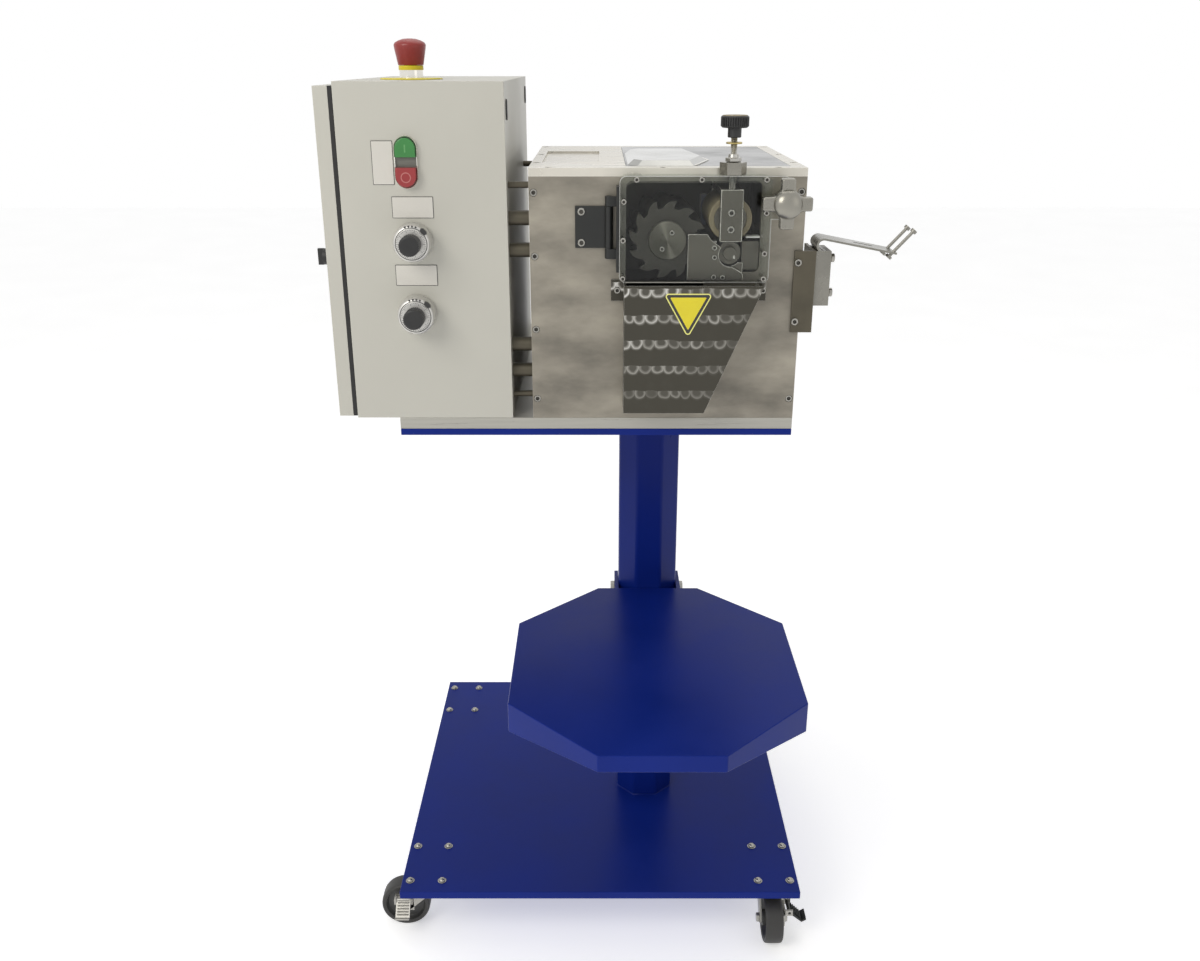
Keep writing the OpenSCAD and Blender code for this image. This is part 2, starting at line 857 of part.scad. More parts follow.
module caster_fork_fl() on_cart() at_caster(0) fork(true);
module caster_fork_fr() on_cart() at_caster(1) fork(true);
module caster_fork_rl() on_cart() at_caster(2) fork(false);
module caster_fork_rr() on_cart() at_caster(3) fork(false);
module caster_wheel_fl() on_cart() at_caster(0) wheel();
module caster_wheel_fr() on_cart() at_caster(1) wheel();
module caster_wheel_rl() on_cart() at_caster(2) wheel();
module caster_wheel_rr() on_cart() at_caster(3) wheel();
module caster_brake_fl() on_cart() at_caster(0) pedal();
module caster_brake_fr() on_cart() at_caster(1) pedal();

// Height of the strands' way through the machine
module strand_slot(x0, x1, half) block([x0, rotor_front + strand_margin, strand_z - half],
  [x1, rotor_front + roll_len - strand_margin, strand_z + half]);

module front_panel() on_cart() color("silver") {
  difference() {
    union() {
      block([box_left, front_y, deck], [box_right, front_y + front_t, box_top - top_t]);
      bar_y(guard_front + guard_t + gap, front_y, star_x, star_z, post_r);
    }
    slab_y(front_y - cut, front_y + front_t + cut) {
      soft_rect([guard_left + guard_wall, guard_low + guard_wall],
        [guard_right - guard_wall, guard_top - guard_wall], guard_round);
      rect([guard_left + guard_wall, guard_low - port_h], [holder_left + port_past,
        guard_low + guard_wall * 2]);
    }
    bar_y(guard_front, front_y + front_t + cut, star_x, star_z, stud_hole_r);
    front_screws() screw_hole();
    top_screws() screw_hole();
    tab_screws() pan_hole();
    plate_screws() pan_hole();
  }
}

module side_panels() on_cart() color("silver") difference() {
  for (x = [box_left, box_right - side_t])
    block([x, front_y + front_t, deck], [x + side_t, box_back - rear_t, box_top - top_t]);
  strand_slot(box_right - side_t - cut, box_right + cut, slot_half);
  front_screws() screw_hole();
  top_screws() screw_hole();
  plate_screws() pan_hole();
}

module rear_panel() on_cart() color("silver") difference() {
  block([box_left, box_back - rear_t, deck], [box_right, box_back, box_top - top_t]);
  for (i = [1 : vent_count]) slab_y(box_back - rear_t - cut, box_back + cut)
    soft_rect([box_left + vent_side, deck + vent_up + i * vent_pitch],
      [box_right - vent_side, deck + vent_up + i * vent_pitch + vent_h], vent_round);
}

module top_cover() on_cart() color("silver") difference() {
  block([box_left, front_y, box_top - top_t], [box_right, box_back, box_top]);
  block([box_left + recess_x0, front_y + recess_y0, box_top - recess_deep],
    [box_left + recess_x1, front_y + recess_y1, box_top + cut]);
  block([box_left + window_x0, front_y + window_y0, box_top - window_t],
    [box_left + window_x1, front_y + window_y1, box_top + cut]);
  block([box_left + window_x0 + window_rest, front_y + window_y0 + window_rest, box_top - top_t - cut],
    [box_left + window_x1 - window_rest, front_y + window_y1 - window_rest, box_top + cut]);
  block([roll_x - boss_flats / sqrt(3) - gap, front_y - cut, box_top - top_t - cut],
    [roll_x + boss_flats / sqrt(3) + gap, screw_y + boss_flats / 2, box_top + cut]);
  top_screws() screw_hole();
}

// Outline of the window's raised field, seen along one side
module hump_side(from, length) polygon([
  [from, box_top - cut], [from, box_top], [from + hump_bevel, box_top + hump_h],
  [from + length - hump_bevel, box_top + hump_h], [from + length, box_top], [from + length,
    box_top - cut]
]);

module top_window() on_cart() color("slategray") {
  x = box_left + window_x0 + hump_in;
  y = front_y + window_y0 + hump_in;
  block([box_left + window_x0 + gap, front_y + window_y0 + gap, box_top - window_t],
    [box_left + window_x1 - gap, front_y + window_y1 - gap, box_top]);
  intersection() {
    slab_y(y, y + hump_d) hump_side(x, hump_w);
    slab_x(x, x + hump_w) hump_side(y, hump_d);
  }
}

// The wall behind the cutting chamber, the rotor's bearing cartridge and the chamber's dark lining
module bearing_wall() on_cart() color("dimgray") difference() {
  x0 = guard_left + guard_wall;
  x1 = guard_right - guard_wall;
  roof = guard_top - guard_wall;
  chamber_y = front_y + front_t;
  union() {
    block([box_left + side_t + gap, wall_y, deck], [box_right - side_t - gap, wall_back,
      box_top - top_t]);
    bar_y(wall_back, wall_back + cartridge_len, rotor_x, rotor_z, cartridge_r);
    block([x0 - lining_t, chamber_y, guard_low - port_h - lining_t], [x0, wall_y, roof + lining_t]);
    block([x1, chamber_y, guard_low - port_h - lining_t], [x1 + lining_t, wall_y, roof + lining_t]);
    block([x0, chamber_y, roof], [x1, wall_y, roof + lining_t]);
    slab_x(x0, x1) polygon([
      [chamber_y, guard_low - port_h], [wall_y, guard_low - floor_back], [wall_y,
        guard_low - floor_back - lining_t],
      [chamber_y, guard_low - port_h - lining_t]
    ]);
  }
  bar_y(wall_y - cut, wall_back + cartridge_len + cut, rotor_x, rotor_z, bearing_r - bearing_lip);
  for (y = [wall_y - cut, wall_back + cartridge_len - bearing_w])
    bar_y(y, y + bearing_w + cut, rotor_x, rotor_z, bearing_r + run_fit);
  bar_y(wall_y - cut, wall_back + cut, roll_x, lower_z, bush_r + run_fit);
  strand_slot(x1 - cut, x1 + lining_t + cut, slot_half);
}

module shaft_bearings() on_cart() color("lightgray") {
  for (y = [wall_y, wall_back + cartridge_len - bearing_w]) difference() {
    bar_y(y, y + bearing_w, rotor_x, rotor_z, bearing_r);
    bar_y(y - cut, y + bearing_w + cut, rotor_x, rotor_z, shaft_r + run_fit);
  }
  difference() {
    bar_y(wall_y, wall_back, roll_x, lower_z, bush_r);
    bar_y(wall_y - cut, wall_back + cut, roll_x, lower_z, roll_shaft_r + run_fit);
  }
}

// Outline of a belt round two pulleys, the second one lying at the given distance
function belt_points(ra, rb, far) = let (a = acos((ra - rb) / far), steps = $fn / 2) concat(
  [for (i = [0 : steps]) let (b = a + (360 - 2 * a) * i / steps) [ra * cos(b), ra * sin(b)]],
  [for (i = [0 : steps]) let (b = -a + 2 * a * i / steps) [far + rb * cos(b), rb * sin(b)]]
);

module drive_belt() on_cart() color("black") {
  dx = motor_x - rotor_x;
  dz = motor_z - rotor_z;
  far = sqrt(dx * dx + dz * dz);
  slab_y(belt_y + flange_t + gap, belt_y + belt_w - flange_t - gap)
    translate([rotor_x, rotor_z]) rotate(atan2(dz, dx)) difference() {
      polygon(belt_points(pulley_r + gap + belt_t, motor_pulley_r + gap + belt_t, far));
      polygon(belt_points(pulley_r + gap, motor_pulley_r + gap, far));
    }
}

// A flanged pulley on a shaft's axis along Y
module pulley(x, z, r, bore) difference() {
  union() {
    bar_y(belt_y, belt_y + belt_w, x, z, r);
    for (y = [belt_y, belt_y + belt_w - flange_t]) bar_y(y, y + flange_t, x, z, r + flange_up);
  }
  bar_y(belt_y - cut, belt_y + belt_w + cut, x, z, bore);
}

module rotor_pulley() on_cart() color("darkgray") pulley(rotor_x, rotor_z, pulley_r, shaft_r + run_fit);

module motor_pulley() on_cart() color("darkgray") {
  pulley(motor_x, motor_z, motor_pulley_r, motor_shaft_r + run_fit);
  bar_y(belt_y, motor_y + motor_bore, motor_x, motor_z, motor_shaft_r);
}

module rotor_motor() on_cart() color("slategray") difference() {
  union() {
    bar_y(motor_y, motor_y + motor_len, motor_x, motor_z, motor_r);
    block([motor_x - foot_w / 2, motor_y + foot_in, deck], [motor_x + foot_w / 2,
      motor_y + motor_len - foot_in, motor_z - motor_r / 2]);
  }
  bar_y(motor_y - cut, motor_y + motor_bore + gap, motor_x, motor_z, motor_shaft_r + run_fit);
}

module feed_gearmotor() on_cart() color("slategray") difference() {
  union() {
    block([roll_x - gear_w / 2, wall_back, lower_z - gear_w / 2], [roll_x + gear_w / 2,
      wall_back + gear_len, lower_z + gear_w / 2]);
    bar_y(wall_back + gear_len, wall_back + gear_len + feed_motor_len, roll_x, lower_z, feed_motor_r);
  }
  bar_y(wall_back - cut, wall_back + gear_bore + gap, roll_x, lower_z, roll_shaft_r + run_fit);
}

module carrier_boss() on_cart() color("silver") difference() {
  translate([roll_x, screw_y, boss_z]) cylinder(d = boss_flats / cos(30), h = boss_h, $fn = 6);
  bar_z(boss_z - cut, boss_z + boss_h + cut, roll_x, screw_y, screw_r + run_fit);
}

module bed_knife() on_cart() color("lightgray")
  block([knife_left, rotor_front + gap, strand_z - knife_h], [knife_left + knife_w, wall_y, strand_z]);

// The block that carries the bed knife, and the plate screwed to its front beside the rotor
module knife_holder() on_cart() color("gray") {
  low = guard_low + guard_wall + gap;
  slab_y(rotor_front + gap, wall_y) difference() {
    rect([holder_left, low], [holder_right, strand_z - knife_h]);
    translate([rotor_x, rotor_z]) circle(rotor_r + rotor_clear);
    translate([roll_x, lower_z]) circle(lower_r + roll_clear);
  }
  slab_y(rotor_front - holder_plate_t, rotor_front - gap) difference() {
    rect([holder_left, guard_low + gap], [holder_right, holder_plate_top]);
    translate([roll_x, upper_z]) circle(upper_r + upper_clear);
    translate([roll_x, lower_z]) circle(lower_r - lower_show);
    polygon([
      [roll_x, lower_z - lower_r + lower_show], [holder_right + cut, guard_low + holder_plate_step],
      [holder_right + cut, holder_plate_top + cut], [roll_x, holder_plate_top + cut]
    ]);
    rect([knife_left + plate_top_w, strand_z], [holder_right + cut, holder_plate_top + cut]);
  }
  plate_post = knife_left + plate_top_w;
  slab_y(rotor_front - gap, rotor_front + gap) rect([plate_post, low], [holder_right, low + post_h]);
}

// Teeth of the rotor, seen from the front: each one hooks towards the bed knife
function rotor_points() = [
  for (i = [0 : rotor_teeth - 1], p = [
    [rotor_r, 0], [rotor_r * tooth_land_share, tooth_back_share],
    [rotor_root_r, tooth_gullet_share], [rotor_root_r, tooth_root_share]
  ]) let (a = (i + p[1]) * 360 / rotor_teeth) [p[0] * cos(a), p[0] * sin(a)]
];

module rotor() on_cart() color("lightgray") difference() {
  translate([rotor_x, rotor_front + roll_len, rotor_z]) rotate([90, 0, 0])
    linear_extrude(roll_len, twist = rotor_twist, slices = rotor_slices) polygon(rotor_points());
  bar_y(rotor_front - cut, rotor_front + roll_len + cut, rotor_x, rotor_z, shaft_r + run_fit);
}

module rotor_cap() on_cart() color("gray")
  translate([rotor_x, rotor_front - gap, rotor_z]) rotate([90, 0, 0]) rotate_extrude()
    polygon([[0, 0], [cap_r, 0], [cap_r, cap_t - cap_bevel], [cap_r - cap_bevel, cap_t], [0, cap_t]]);

module rotor_shaft() on_cart() color("darkgray")
  bar_y(rotor_front, belt_y + belt_w + shaft_past, rotor_x, rotor_z, shaft_r);

module lower_feed_roll() on_cart() color("lightgray") {
  bar_y(rotor_front, rotor_front + roll_len, roll_x, lower_z, lower_r);
  bar_y(rotor_front - lower_stub, wall_back + gear_bore, roll_x, lower_z, roll_shaft_r);
}

module upper_feed_roll() on_cart() color("tan") {
  bar_y(rotor_front, rotor_front + roll_len, roll_x, upper_z, upper_r);
  bar_y(rotor_front - cheek_front_t + cheek_skin, wall_y - gap * 2, roll_x, upper_z, roll_shaft_r);
}

module roll_carrier() on_cart() color("darkgray") {
  x0 = roll_x - cheek_w / 2;
  x1 = roll_x + cheek_w / 2;
  front = rotor_front - gap - cheek_front_t;
  back = wall_y - gap;
  difference() {
    union() {
      block([x0, front, upper_z - cheek_low], [x1, rotor_front - gap, carrier_top]);
      block([x0, front, bridge_z], [x1, back, carrier_top]);
      block([x0, back - cheek_back_t, upper_z - cheek_w / 2], [x1, back, carrier_top]);
    }
    bar_y(rotor_front - cheek_front_t + cheek_skin - gap, back + cut, roll_x, upper_z,
      roll_shaft_r + run_fit);
    bar_z(carrier_top - screw_in - roll_lift - gap, carrier_top + cut, roll_x, screw_y,
      screw_r + run_fit);
  }
}

module adjusting_knob() on_cart() color("dimgray") {
  bar_z(carrier_top - screw_in, neck_z + neck_h, roll_x, screw_y, screw_r);
  translate([roll_x, screw_y, boss_z + boss_h + gap]) cylinder(r = nut_r, h = nut_h, $fn = 6);
  bar_z(washer_z, washer_z + washer_t, roll_x, screw_y, nut_r);
  bar_z(neck_z, neck_z + neck_h, roll_x, screw_y, neck_r);
  bar_z(neck_z + neck_h, neck_z + neck_h + knob_h, roll_x, screw_y, knob_r);
}

// The clear guard's outline, and the steel leaf that it swings on
module guard() on_cart() {
  color("lightcyan") difference() {
    union() {
      slab_y(guard_front, front_y - gap) soft_rect([guard_left, guard_low], [guard_right, guard_top],
        guard_round);
      slab_y(guard_front, guard_front + guard_t)
        soft_rect([guard_right - ear_w, guard_top - ear_drop], [guard_right + ear_w, guard_top],
          guard_ear_round);
    }
    slab_y(guard_front + guard_t, front_y) {
      soft_rect([guard_left + guard_wall, guard_low + guard_wall],
        [guard_right - guard_wall, guard_top - guard_wall], guard_round);
      rect([guard_left + guard_wall, guard_low - cut], [guard_right - guard_wall, rotor_z]);
    }
    block([roll_x - screw_r - screw_way, screw_y - screw_r - screw_way, guard_top - guard_wall - cut],
      [roll_x + screw_r + screw_way, front_y, guard_top + cut]);
    bar_y(guard_front - cut, front_y, star_x, star_z, stud_r + run_fit * 2);
  }
  color("gray") difference() {
    union() {
      block([guard_left - strip_t, guard_front + guard_t / 2, strip_z0], [guard_left,
        hinge_y + strip_past, strip_z0 + strip_h]);
      for (z = [hinge_z0, hinge_z0 + knuckle_h + hinge_mid_h + gap * 2]) {
        bar_z(z, z + knuckle_h, hinge_x, hinge_y, hinge_r);
        block([hinge_x, hinge_y - hinge_r, z], [guard_left - strip_t / 2,
          hinge_y - hinge_r + hinge_leaf_t, z + knuckle_h]);
      }
    }
    bar_z(guard_low - cut, guard_top + cut, hinge_x, hinge_y, hinge_pin_r + run_fit);
  }
}

module guard_hinge() on_cart() color("black") {
  mid_z = hinge_z0 + knuckle_h + gap;
  block([hinge_x - hinge_leaf_w, front_y - hinge_leaf_t, mid_z], [hinge_x, front_y,
    mid_z + hinge_mid_h]);
  bar_z(mid_z, mid_z + hinge_mid_h, hinge_x, hinge_y, hinge_r);
  bar_z(hinge_z0 - gap, mid_z + hinge_mid_h + knuckle_h + gap * 2, hinge_x, hinge_y, hinge_pin_r);
}

module star_knob() on_cart() color("silver") {
  neck_y = guard_front - gap;
  head_y = neck_y - star_neck_h;
  slab_y(head_y - star_t, head_y) translate([star_x, star_z]) {
    circle(star_core_r);
    for (a = [0 : 90 : 270]) rotate(a) {
      translate([star_lobe_at, 0]) circle(star_lobe_r);
      translate([0, -star_lobe_r]) square([star_lobe_at, star_lobe_r * 2]);
    }
  }
  translate([star_x, head_y - star_t, star_z]) sphere(star_ball_r);
  bar_y(head_y, neck_y, star_x, star_z, star_neck_r);
  bar_y(neck_y, front_y + stud_in, star_x, star_z, stud_r);
}

// Front outline of the chute, drawn in by the given amount
module chute_outline(inset, below) {
  slope = (chute_w - mouth_w) / (chute_top - chute_low);
  polygon([
    [chute_left + inset, chute_top + below], [chute_left + chute_w - inset + below * slope,
      chute_top + below],
    [chute_left + mouth_w - inset - below * slope, chute_low - below], [chute_left + inset,
      chute_low - below]
  ]);
}

module chute() on_cart() color("darkgray") {
  front = front_y - chute_out;
  right = chute_left + chute_w;
  difference() {
    slab_y(front, front_y) chute_outline(0, 0);
    slab_y(front + chute_sheet, front_y + cut) chute_outline(chute_sheet, cut);
  }
  difference() {
    union() {
      block([chute_left - tab_w, front_y - tab_t, chute_top - tab_h], [chute_left, front_y, chute_top]);
      block([right - chute_sheet, front_y - tab_t, chute_top - tab_h],
        [right + tab_w / 2, front_y, chute_top - tab_t]);
    }
    tab_screws() pan_hole();
    block([chute_left - tab_w / 2 - cap_shank_r - bolt_fit, front_y - tab_t - cut,
      chute_top - tab_h / 2],
      [chute_left - tab_w / 2 + cap_shank_r + bolt_fit, front_y + cut,
        chute_top - tab_h / 2 + tab_slot]);
  }
}

module link_rods() on_cart() color("darkgray") {
  for (y = [front_y + link_in_y, box_back - link_back_y], z = [box_top - link_high, deck + link_low])
    bar_x(cab_right, box_left, y, z, link_r);
  for (z = conduit_zs) bar_x(cab_right, box_left, front_y + link_in_y, deck + z, conduit_r);
}

module guide_bracket() on_cart() color("gray") {
  difference() {
    block([box_right - plate_in, front_y - guide_t, plate_low], [box_right + plate_out, front_y,
      plate_high]);
    plate_screws() pan_hole();
  }
  block([box_right + plate_out - guide_t, front_y, plate_low], [box_right + plate_out,
    front_y + guide_leg, plate_high]);
  for (z = guide_bolt_zs()) {
    bar_x(box_right + plate_out, block_x + block_w + gap, front_y + block_d / 2, z, guide_bolt_r);
    bar_x(block_x + block_w + gap, block_x + block_w + gap + guide_bolt_head_h,
      front_y + block_d / 2, z, guide_bolt_head_r);
  }
}
function guide_bolt_zs() = [block_low + guide_bolt_in, block_high - guide_bolt_in];

// Side outline of the strand guide's sheet: a curl whose upper end runs out straight, sloping down
function ramp_points() =
  let (a0 = 90 - ramp_tilt, a1 = 270 + curl_past, n = $fn / 2, r = curl_r - ramp_t) concat(
  [curl_r * [cos(a0), sin(a0)] + ramp_len * [cos(ramp_tilt), -sin(ramp_tilt)]],
  [for (i = [0 : n]) let (a = a0 + (a1 - a0) * i / n) curl_r * [cos(a), sin(a)]],
  [for (i = [0 : n]) let (a = a1 + (a0 - a1) * i / n) r * [cos(a), sin(a)]],
  [r * [cos(a0), sin(a0)] + ramp_len * [cos(ramp_tilt), -sin(ramp_tilt)]]
);

module infeed_guide() on_cart() color("lightgray") {
  curl_x = block_x + curl_r;
  curl_z = block_high + curl_r - ramp_t;
  difference() {
    block([block_x, front_y, block_low], [block_x + block_w, front_y + block_d, block_high]);
    slab_x(block_x - cut, block_x + block_w + cut) for (z = guide_bolt_zs()) {
      for (s = [-1, 1]) translate([front_y + block_d / 2, z + s * guide_play])
        circle(guide_bolt_r + bolt_fit);
      rect([front_y + block_d / 2 - guide_bolt_r - bolt_fit, z - guide_play],
        [front_y + block_d / 2 + guide_bolt_r + bolt_fit, z + guide_play]);
    }
  }
  difference() {
    slab_y(front_y, front_y + ramp_d) translate([curl_x, curl_z]) polygon(ramp_points());
    translate([curl_x, front_y + ramp_d / 2 - ramp_slot_w / 2, curl_z]) rotate([0, ramp_tilt, 0])
      translate([ramp_slot_at, 0, 0]) cube([ramp_slot_len, ramp_slot_w, curl_r + cut]);
  }
  for (y = [pin_near, pin_near + pin_step])
    translate([curl_x, front_y + y, curl_z]) rotate([0, ramp_tilt, 0])
      translate([pin_at, 0, curl_r - ramp_t])
      rotate([0, pin_tilt - ramp_tilt, 0]) {
        translate([0, 0, -guide_nut_h * 2]) cylinder(r = pin_r, h = pin_len + guide_nut_h * 2);
        translate([0, 0, -guide_nut_h * 2]) cylinder(r = guide_nut_r, h = guide_nut_h, $fn = 6);
        translate([0, 0, pin_len]) cylinder(r = pin_head_r, h = pin_head_h);
      }
}

module cabinet_body() on_cart() color("gainsboro") {
  difference() {
    block([cab_left, front_y, deck], [cab_right, cab_back, cab_top]);
    block([cab_left + cab_wall, front_y + cab_wall, deck + cab_wall],
      [cab_right - cab_wall, cab_back - cab_wall, cab_top - cab_wall]);
    block([cab_left - cut, front_y + cab_flange, deck + cab_flange],
      [cab_left + cab_wall + cut, cab_back - cab_flange, cab_top - cab_flange]);
    for (z = [start_z, stop_z]) bar_y(front_y - cut, front_y + cab_wall + cut, controls_x, z,
      press_r + press_sleeve + gap);
    for (z = dial_zs) bar_y(front_y - cut, front_y + cab_wall + cut, dials_x, z, dial_pot_r + gap);
    bar_z(cab_top - cab_wall - cut, cab_top + cut, estop_x, estop_y, estop_body_r - press_sleeve + gap);
    bar_y(cab_back - cab_wall - cut, cab_back + cut, gland_x, gland_z,
      gland_body_r - press_sleeve + gap);
  }
  for (z = door_hinge_zs()) {
    block([door_hinge_x, cab_back, z], [cab_left + door_hinge_in / 2, cab_back + door_leaf_t,
      z + door_knuckle_h]);
    bar_z(z, z + door_knuckle_h, door_hinge_x, door_hinge_y, door_knuckle_r);
    bar_z(z, z + door_knuckle_h * 2 + gap, door_hinge_x, door_hinge_y, door_pin_r);
  }
}
function door_hinge_zs() = [door_low + door_hinge_in, door_high - door_hinge_in - door_knuckle_h * 2];

module cabinet_door() on_cart() color("gainsboro") difference() {
  union() {
    difference() {
      block([door_x0, front_y + door_in, door_low], [door_x1, cab_back - door_in, door_high]);
      block([door_x0 + cab_wall, front_y + door_in + cab_wall, door_low + cab_wall],
        [door_x1 + cut, cab_back - door_in - cab_wall, door_high - cab_wall]);
    }
    for (z = door_hinge_zs()) {
      low = z + door_knuckle_h + gap;
      bar_z(low, low + door_knuckle_h, door_hinge_x, door_hinge_y, door_knuckle_r);
      block([door_hinge_x - door_knuckle_r, cab_back - door_in - cab_wall, low],
        [door_hinge_x - door_knuckle_r + door_leaf_t, door_hinge_y, low + door_knuckle_h]);
    }
  }
  bar_x(door_x0 - cut, door_x1, latch_y, latch_z, latch_shaft_r + run_fit);
  bar_z(door_low, door_high, door_hinge_x, door_hinge_y, door_pin_r + run_fit);
}

module door_gasket() on_cart() color("black") difference() {
  near = front_y + door_in;
  far = cab_back - door_in;
  block([door_x1, near, door_low], [door_x1 + gasket_t, far, door_high]);
  block([door_x1 - cut, near + gasket_w, door_low + gasket_w], [door_x1 + gasket_t + cut,
    far - gasket_w, door_high - gasket_w]);
}

module door_latch() on_cart() color("black") {
  bar_x(door_x0 - latch_out, door_x0 - gap, latch_y, latch_z, latch_r);
  bar_x(door_x0 - latch_out, cab_left + cab_wall + gap * 2 + cam_t, latch_y, latch_z, latch_shaft_r);
  block([door_x0 - latch_out - latch_handle_h, latch_y - latch_handle_t / 2, latch_z - latch_r],
    [door_x0 - latch_out, latch_y + latch_handle_t / 2, latch_z + latch_r]);
  block([cab_left + cab_wall + gap * 2, latch_y - cam_w / 2, latch_z - cam_w / 2],
    [cab_left + cab_wall + gap * 2 + cam_t, latch_y + cam_w / 2, latch_z + cam_len]);
}

// Bezel and switch bodies of the start and stop buttons, and the emergency stop's body and disc
module button_bodies() on_cart() color("silver") {
  difference() {
    union() {
      slab_y(front_y - bezel_out, front_y)
        soft_rect([controls_x - bezel_w / 2, stop_z - bezel_w / 2 - bezel_over],
          [controls_x + bezel_w / 2, start_z + bezel_w / 2 + bezel_over], bezel_round);
      for (z = [start_z, stop_z]) {
        bar_y(front_y, front_y + cab_wall, controls_x, z, press_r + press_sleeve);
        bar_y(front_y + cab_wall, front_y + press_body_len, controls_x, z, press_body_r);
      }
    }
    for (z = [start_z, stop_z])
      bar_y(front_y - bezel_out - cut, front_y + press_in + press_travel + cut, controls_x, z,
        press_r + run_fit);
  }
  difference() {
    union() {
      bar_z(cab_top, cab_top + legend_t, estop_x, estop_y, legend_r);
      bar_z(cab_top + legend_t, cab_top + legend_t + estop_body_h, estop_x, estop_y, estop_body_r);
      bar_z(cab_top - cab_wall, cab_top, estop_x, estop_y, estop_body_r - press_sleeve);
      bar_z(cab_top - press_body_len, cab_top - cab_wall, estop_x, estop_y, estop_body_r);
    }
    bar_z(cab_top - estop_stem_in - estop_travel - cut, cab_top + legend_t + estop_body_h + cut,
      estop_x, estop_y, estop_stem_r + run_fit);
  }
}

module dial_bodies() on_cart() color("silver") for (z = dial_zs) difference() {
  union() {
    bar_y(front_y - dial_out, front_y, dials_x, z, dial_r);
    bar_y(front_y, front_y + dial_pot_len, dials_x, z, dial_pot_r);
  }
  bar_y(front_y - dial_out - cut, front_y - dial_out + dial_shaft_in + gap, dials_x, z,
    dial_shaft_r + run_fit);
}

module dial_knob(z) on_cart() color("black") {
  bar_y(front_y - dial_out - gap - dial_knob_out, front_y - dial_out - gap, dials_x, z, dial_knob_r);
  bar_y(front_y - dial_out - gap, front_y - dial_out + dial_shaft_in, dials_x, z, dial_shaft_r);
}
module dial_knob_upper() dial_knob(dial_zs[0]);
module dial_knob_lower() dial_knob(dial_zs[1]);

module start_button() on_cart() color("green")
  bar_y(front_y - press_out, front_y + press_in, controls_x, start_z, press_r);
module stop_button() on_cart() color("red")
  bar_y(front_y - press_out - stop_proud, front_y + press_in, controls_x, stop_z, press_r);

// The mushroom cap, domed on top and drawn in below, on its stem
module estop_button() on_cart() color("red") {
  cap_edge = estop_d / 2;
  translate([estop_x, estop_y, estop_cap_z]) rotate_extrude() polygon(concat(
    [[0, 0], [estop_under_r, 0], [cap_edge, estop_cap_h / 2], [cap_edge, estop_cap_h]],
    [for (a = [15 : 15 : 90]) [cap_edge * cos(a), estop_cap_h + estop_dome * sin(a)]]
  ));
  bar_z(cab_top - estop_stem_in, estop_cap_z, estop_x, estop_y, estop_stem_r);
}

// Back plate of the cabinet with one speed drive for the rotor and one for the feed rolls
module motor_drives() on_cart() color("darkslategray") {
  plate_x = cab_right - cab_wall - drive_stand - drive_plate_t;
  near = front_y + drive_near;
  far = cab_back - drive_margin;
  low = deck + drive_margin * 2;
  high = cab_top - drive_margin * 2;
  block([plate_x, near, low], [plate_x + drive_plate_t, far, high]);
  for (y = [near + drive_margin, far - drive_margin], z = [low + drive_margin, high - drive_margin])
    bar_x(plate_x + drive_plate_t, cab_right - cab_wall, y, z, link_r);
  for (i = [0, 1]) {
    y = near + drive_margin + i * (drive_w + drive_margin);
    block([plate_x - drive_d, y, low + drive_margin], [plate_x, y + drive_w,
      low + drive_margin + drive_h]);
  }
}

module cable_gland() on_cart() color("dimgray") difference() {
  union() {
    translate([gland_x, cab_back, gland_z]) rotate([-90, 0, 0]) cylinder(r = gland_nut_r,
      h = gland_nut_t, $fn = 6);
    bar_y(cab_back - cab_wall - gland_nut_t, cab_back, gland_x, gland_z, gland_body_r - press_sleeve);
    bar_y(cab_back, cab_back + gland_out, gland_x, gland_z, gland_body_r);
  }
  bar_y(cab_back - cab_wall - gland_nut_t - cut, cab_back + gland_out + cut, gland_x, gland_z, gland_r);
}

base_plate();
column();
table_plate();
tray();
tray_bracket();
fasteners();
caster_plates();
mounting_plate();
front_panel();
side_panels();
rear_panel();
top_cover();
top_window();
bearing_wall();
shaft_bearings();
rotor_motor();
drive_belt();
feed_gearmotor();
carrier_boss();
bed_knife();
knife_holder();
guard_hinge();
chute();
link_rods();
guide_bracket();
cabinet_body();
button_bodies();
dial_bodies();
motor_drives();
cable_gland();
caster_fork_fl();
caster_fork_fr();
caster_fork_rl();
caster_fork_rr();
caster_wheel_fl();
caster_wheel_fr();
caster_wheel_rl();
caster_wheel_rr();
caster_brake_fl();
caster_brake_fr();
rotor();
rotor_cap();
rotor_shaft();
rotor_pulley();
motor_pulley();
lower_feed_roll();
upper_feed_roll();
roll_carrier();
adjusting_knob();
guard();
star_knob();
infeed_guide();
cabinet_door();
door_gasket();
door_latch();
estop_button();
start_button();
stop_button();
dial_knob_upper();
dial_knob_lower();
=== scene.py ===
# Looks of the strand pelletizer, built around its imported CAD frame.
# Lengths are millimetres about the middle of the base plate, and V() turns them into the frame's metres.
# Materials, lamps and the world use metres.
import json
import math

import bmesh
import bpy
from mathutils import Matrix, Vector


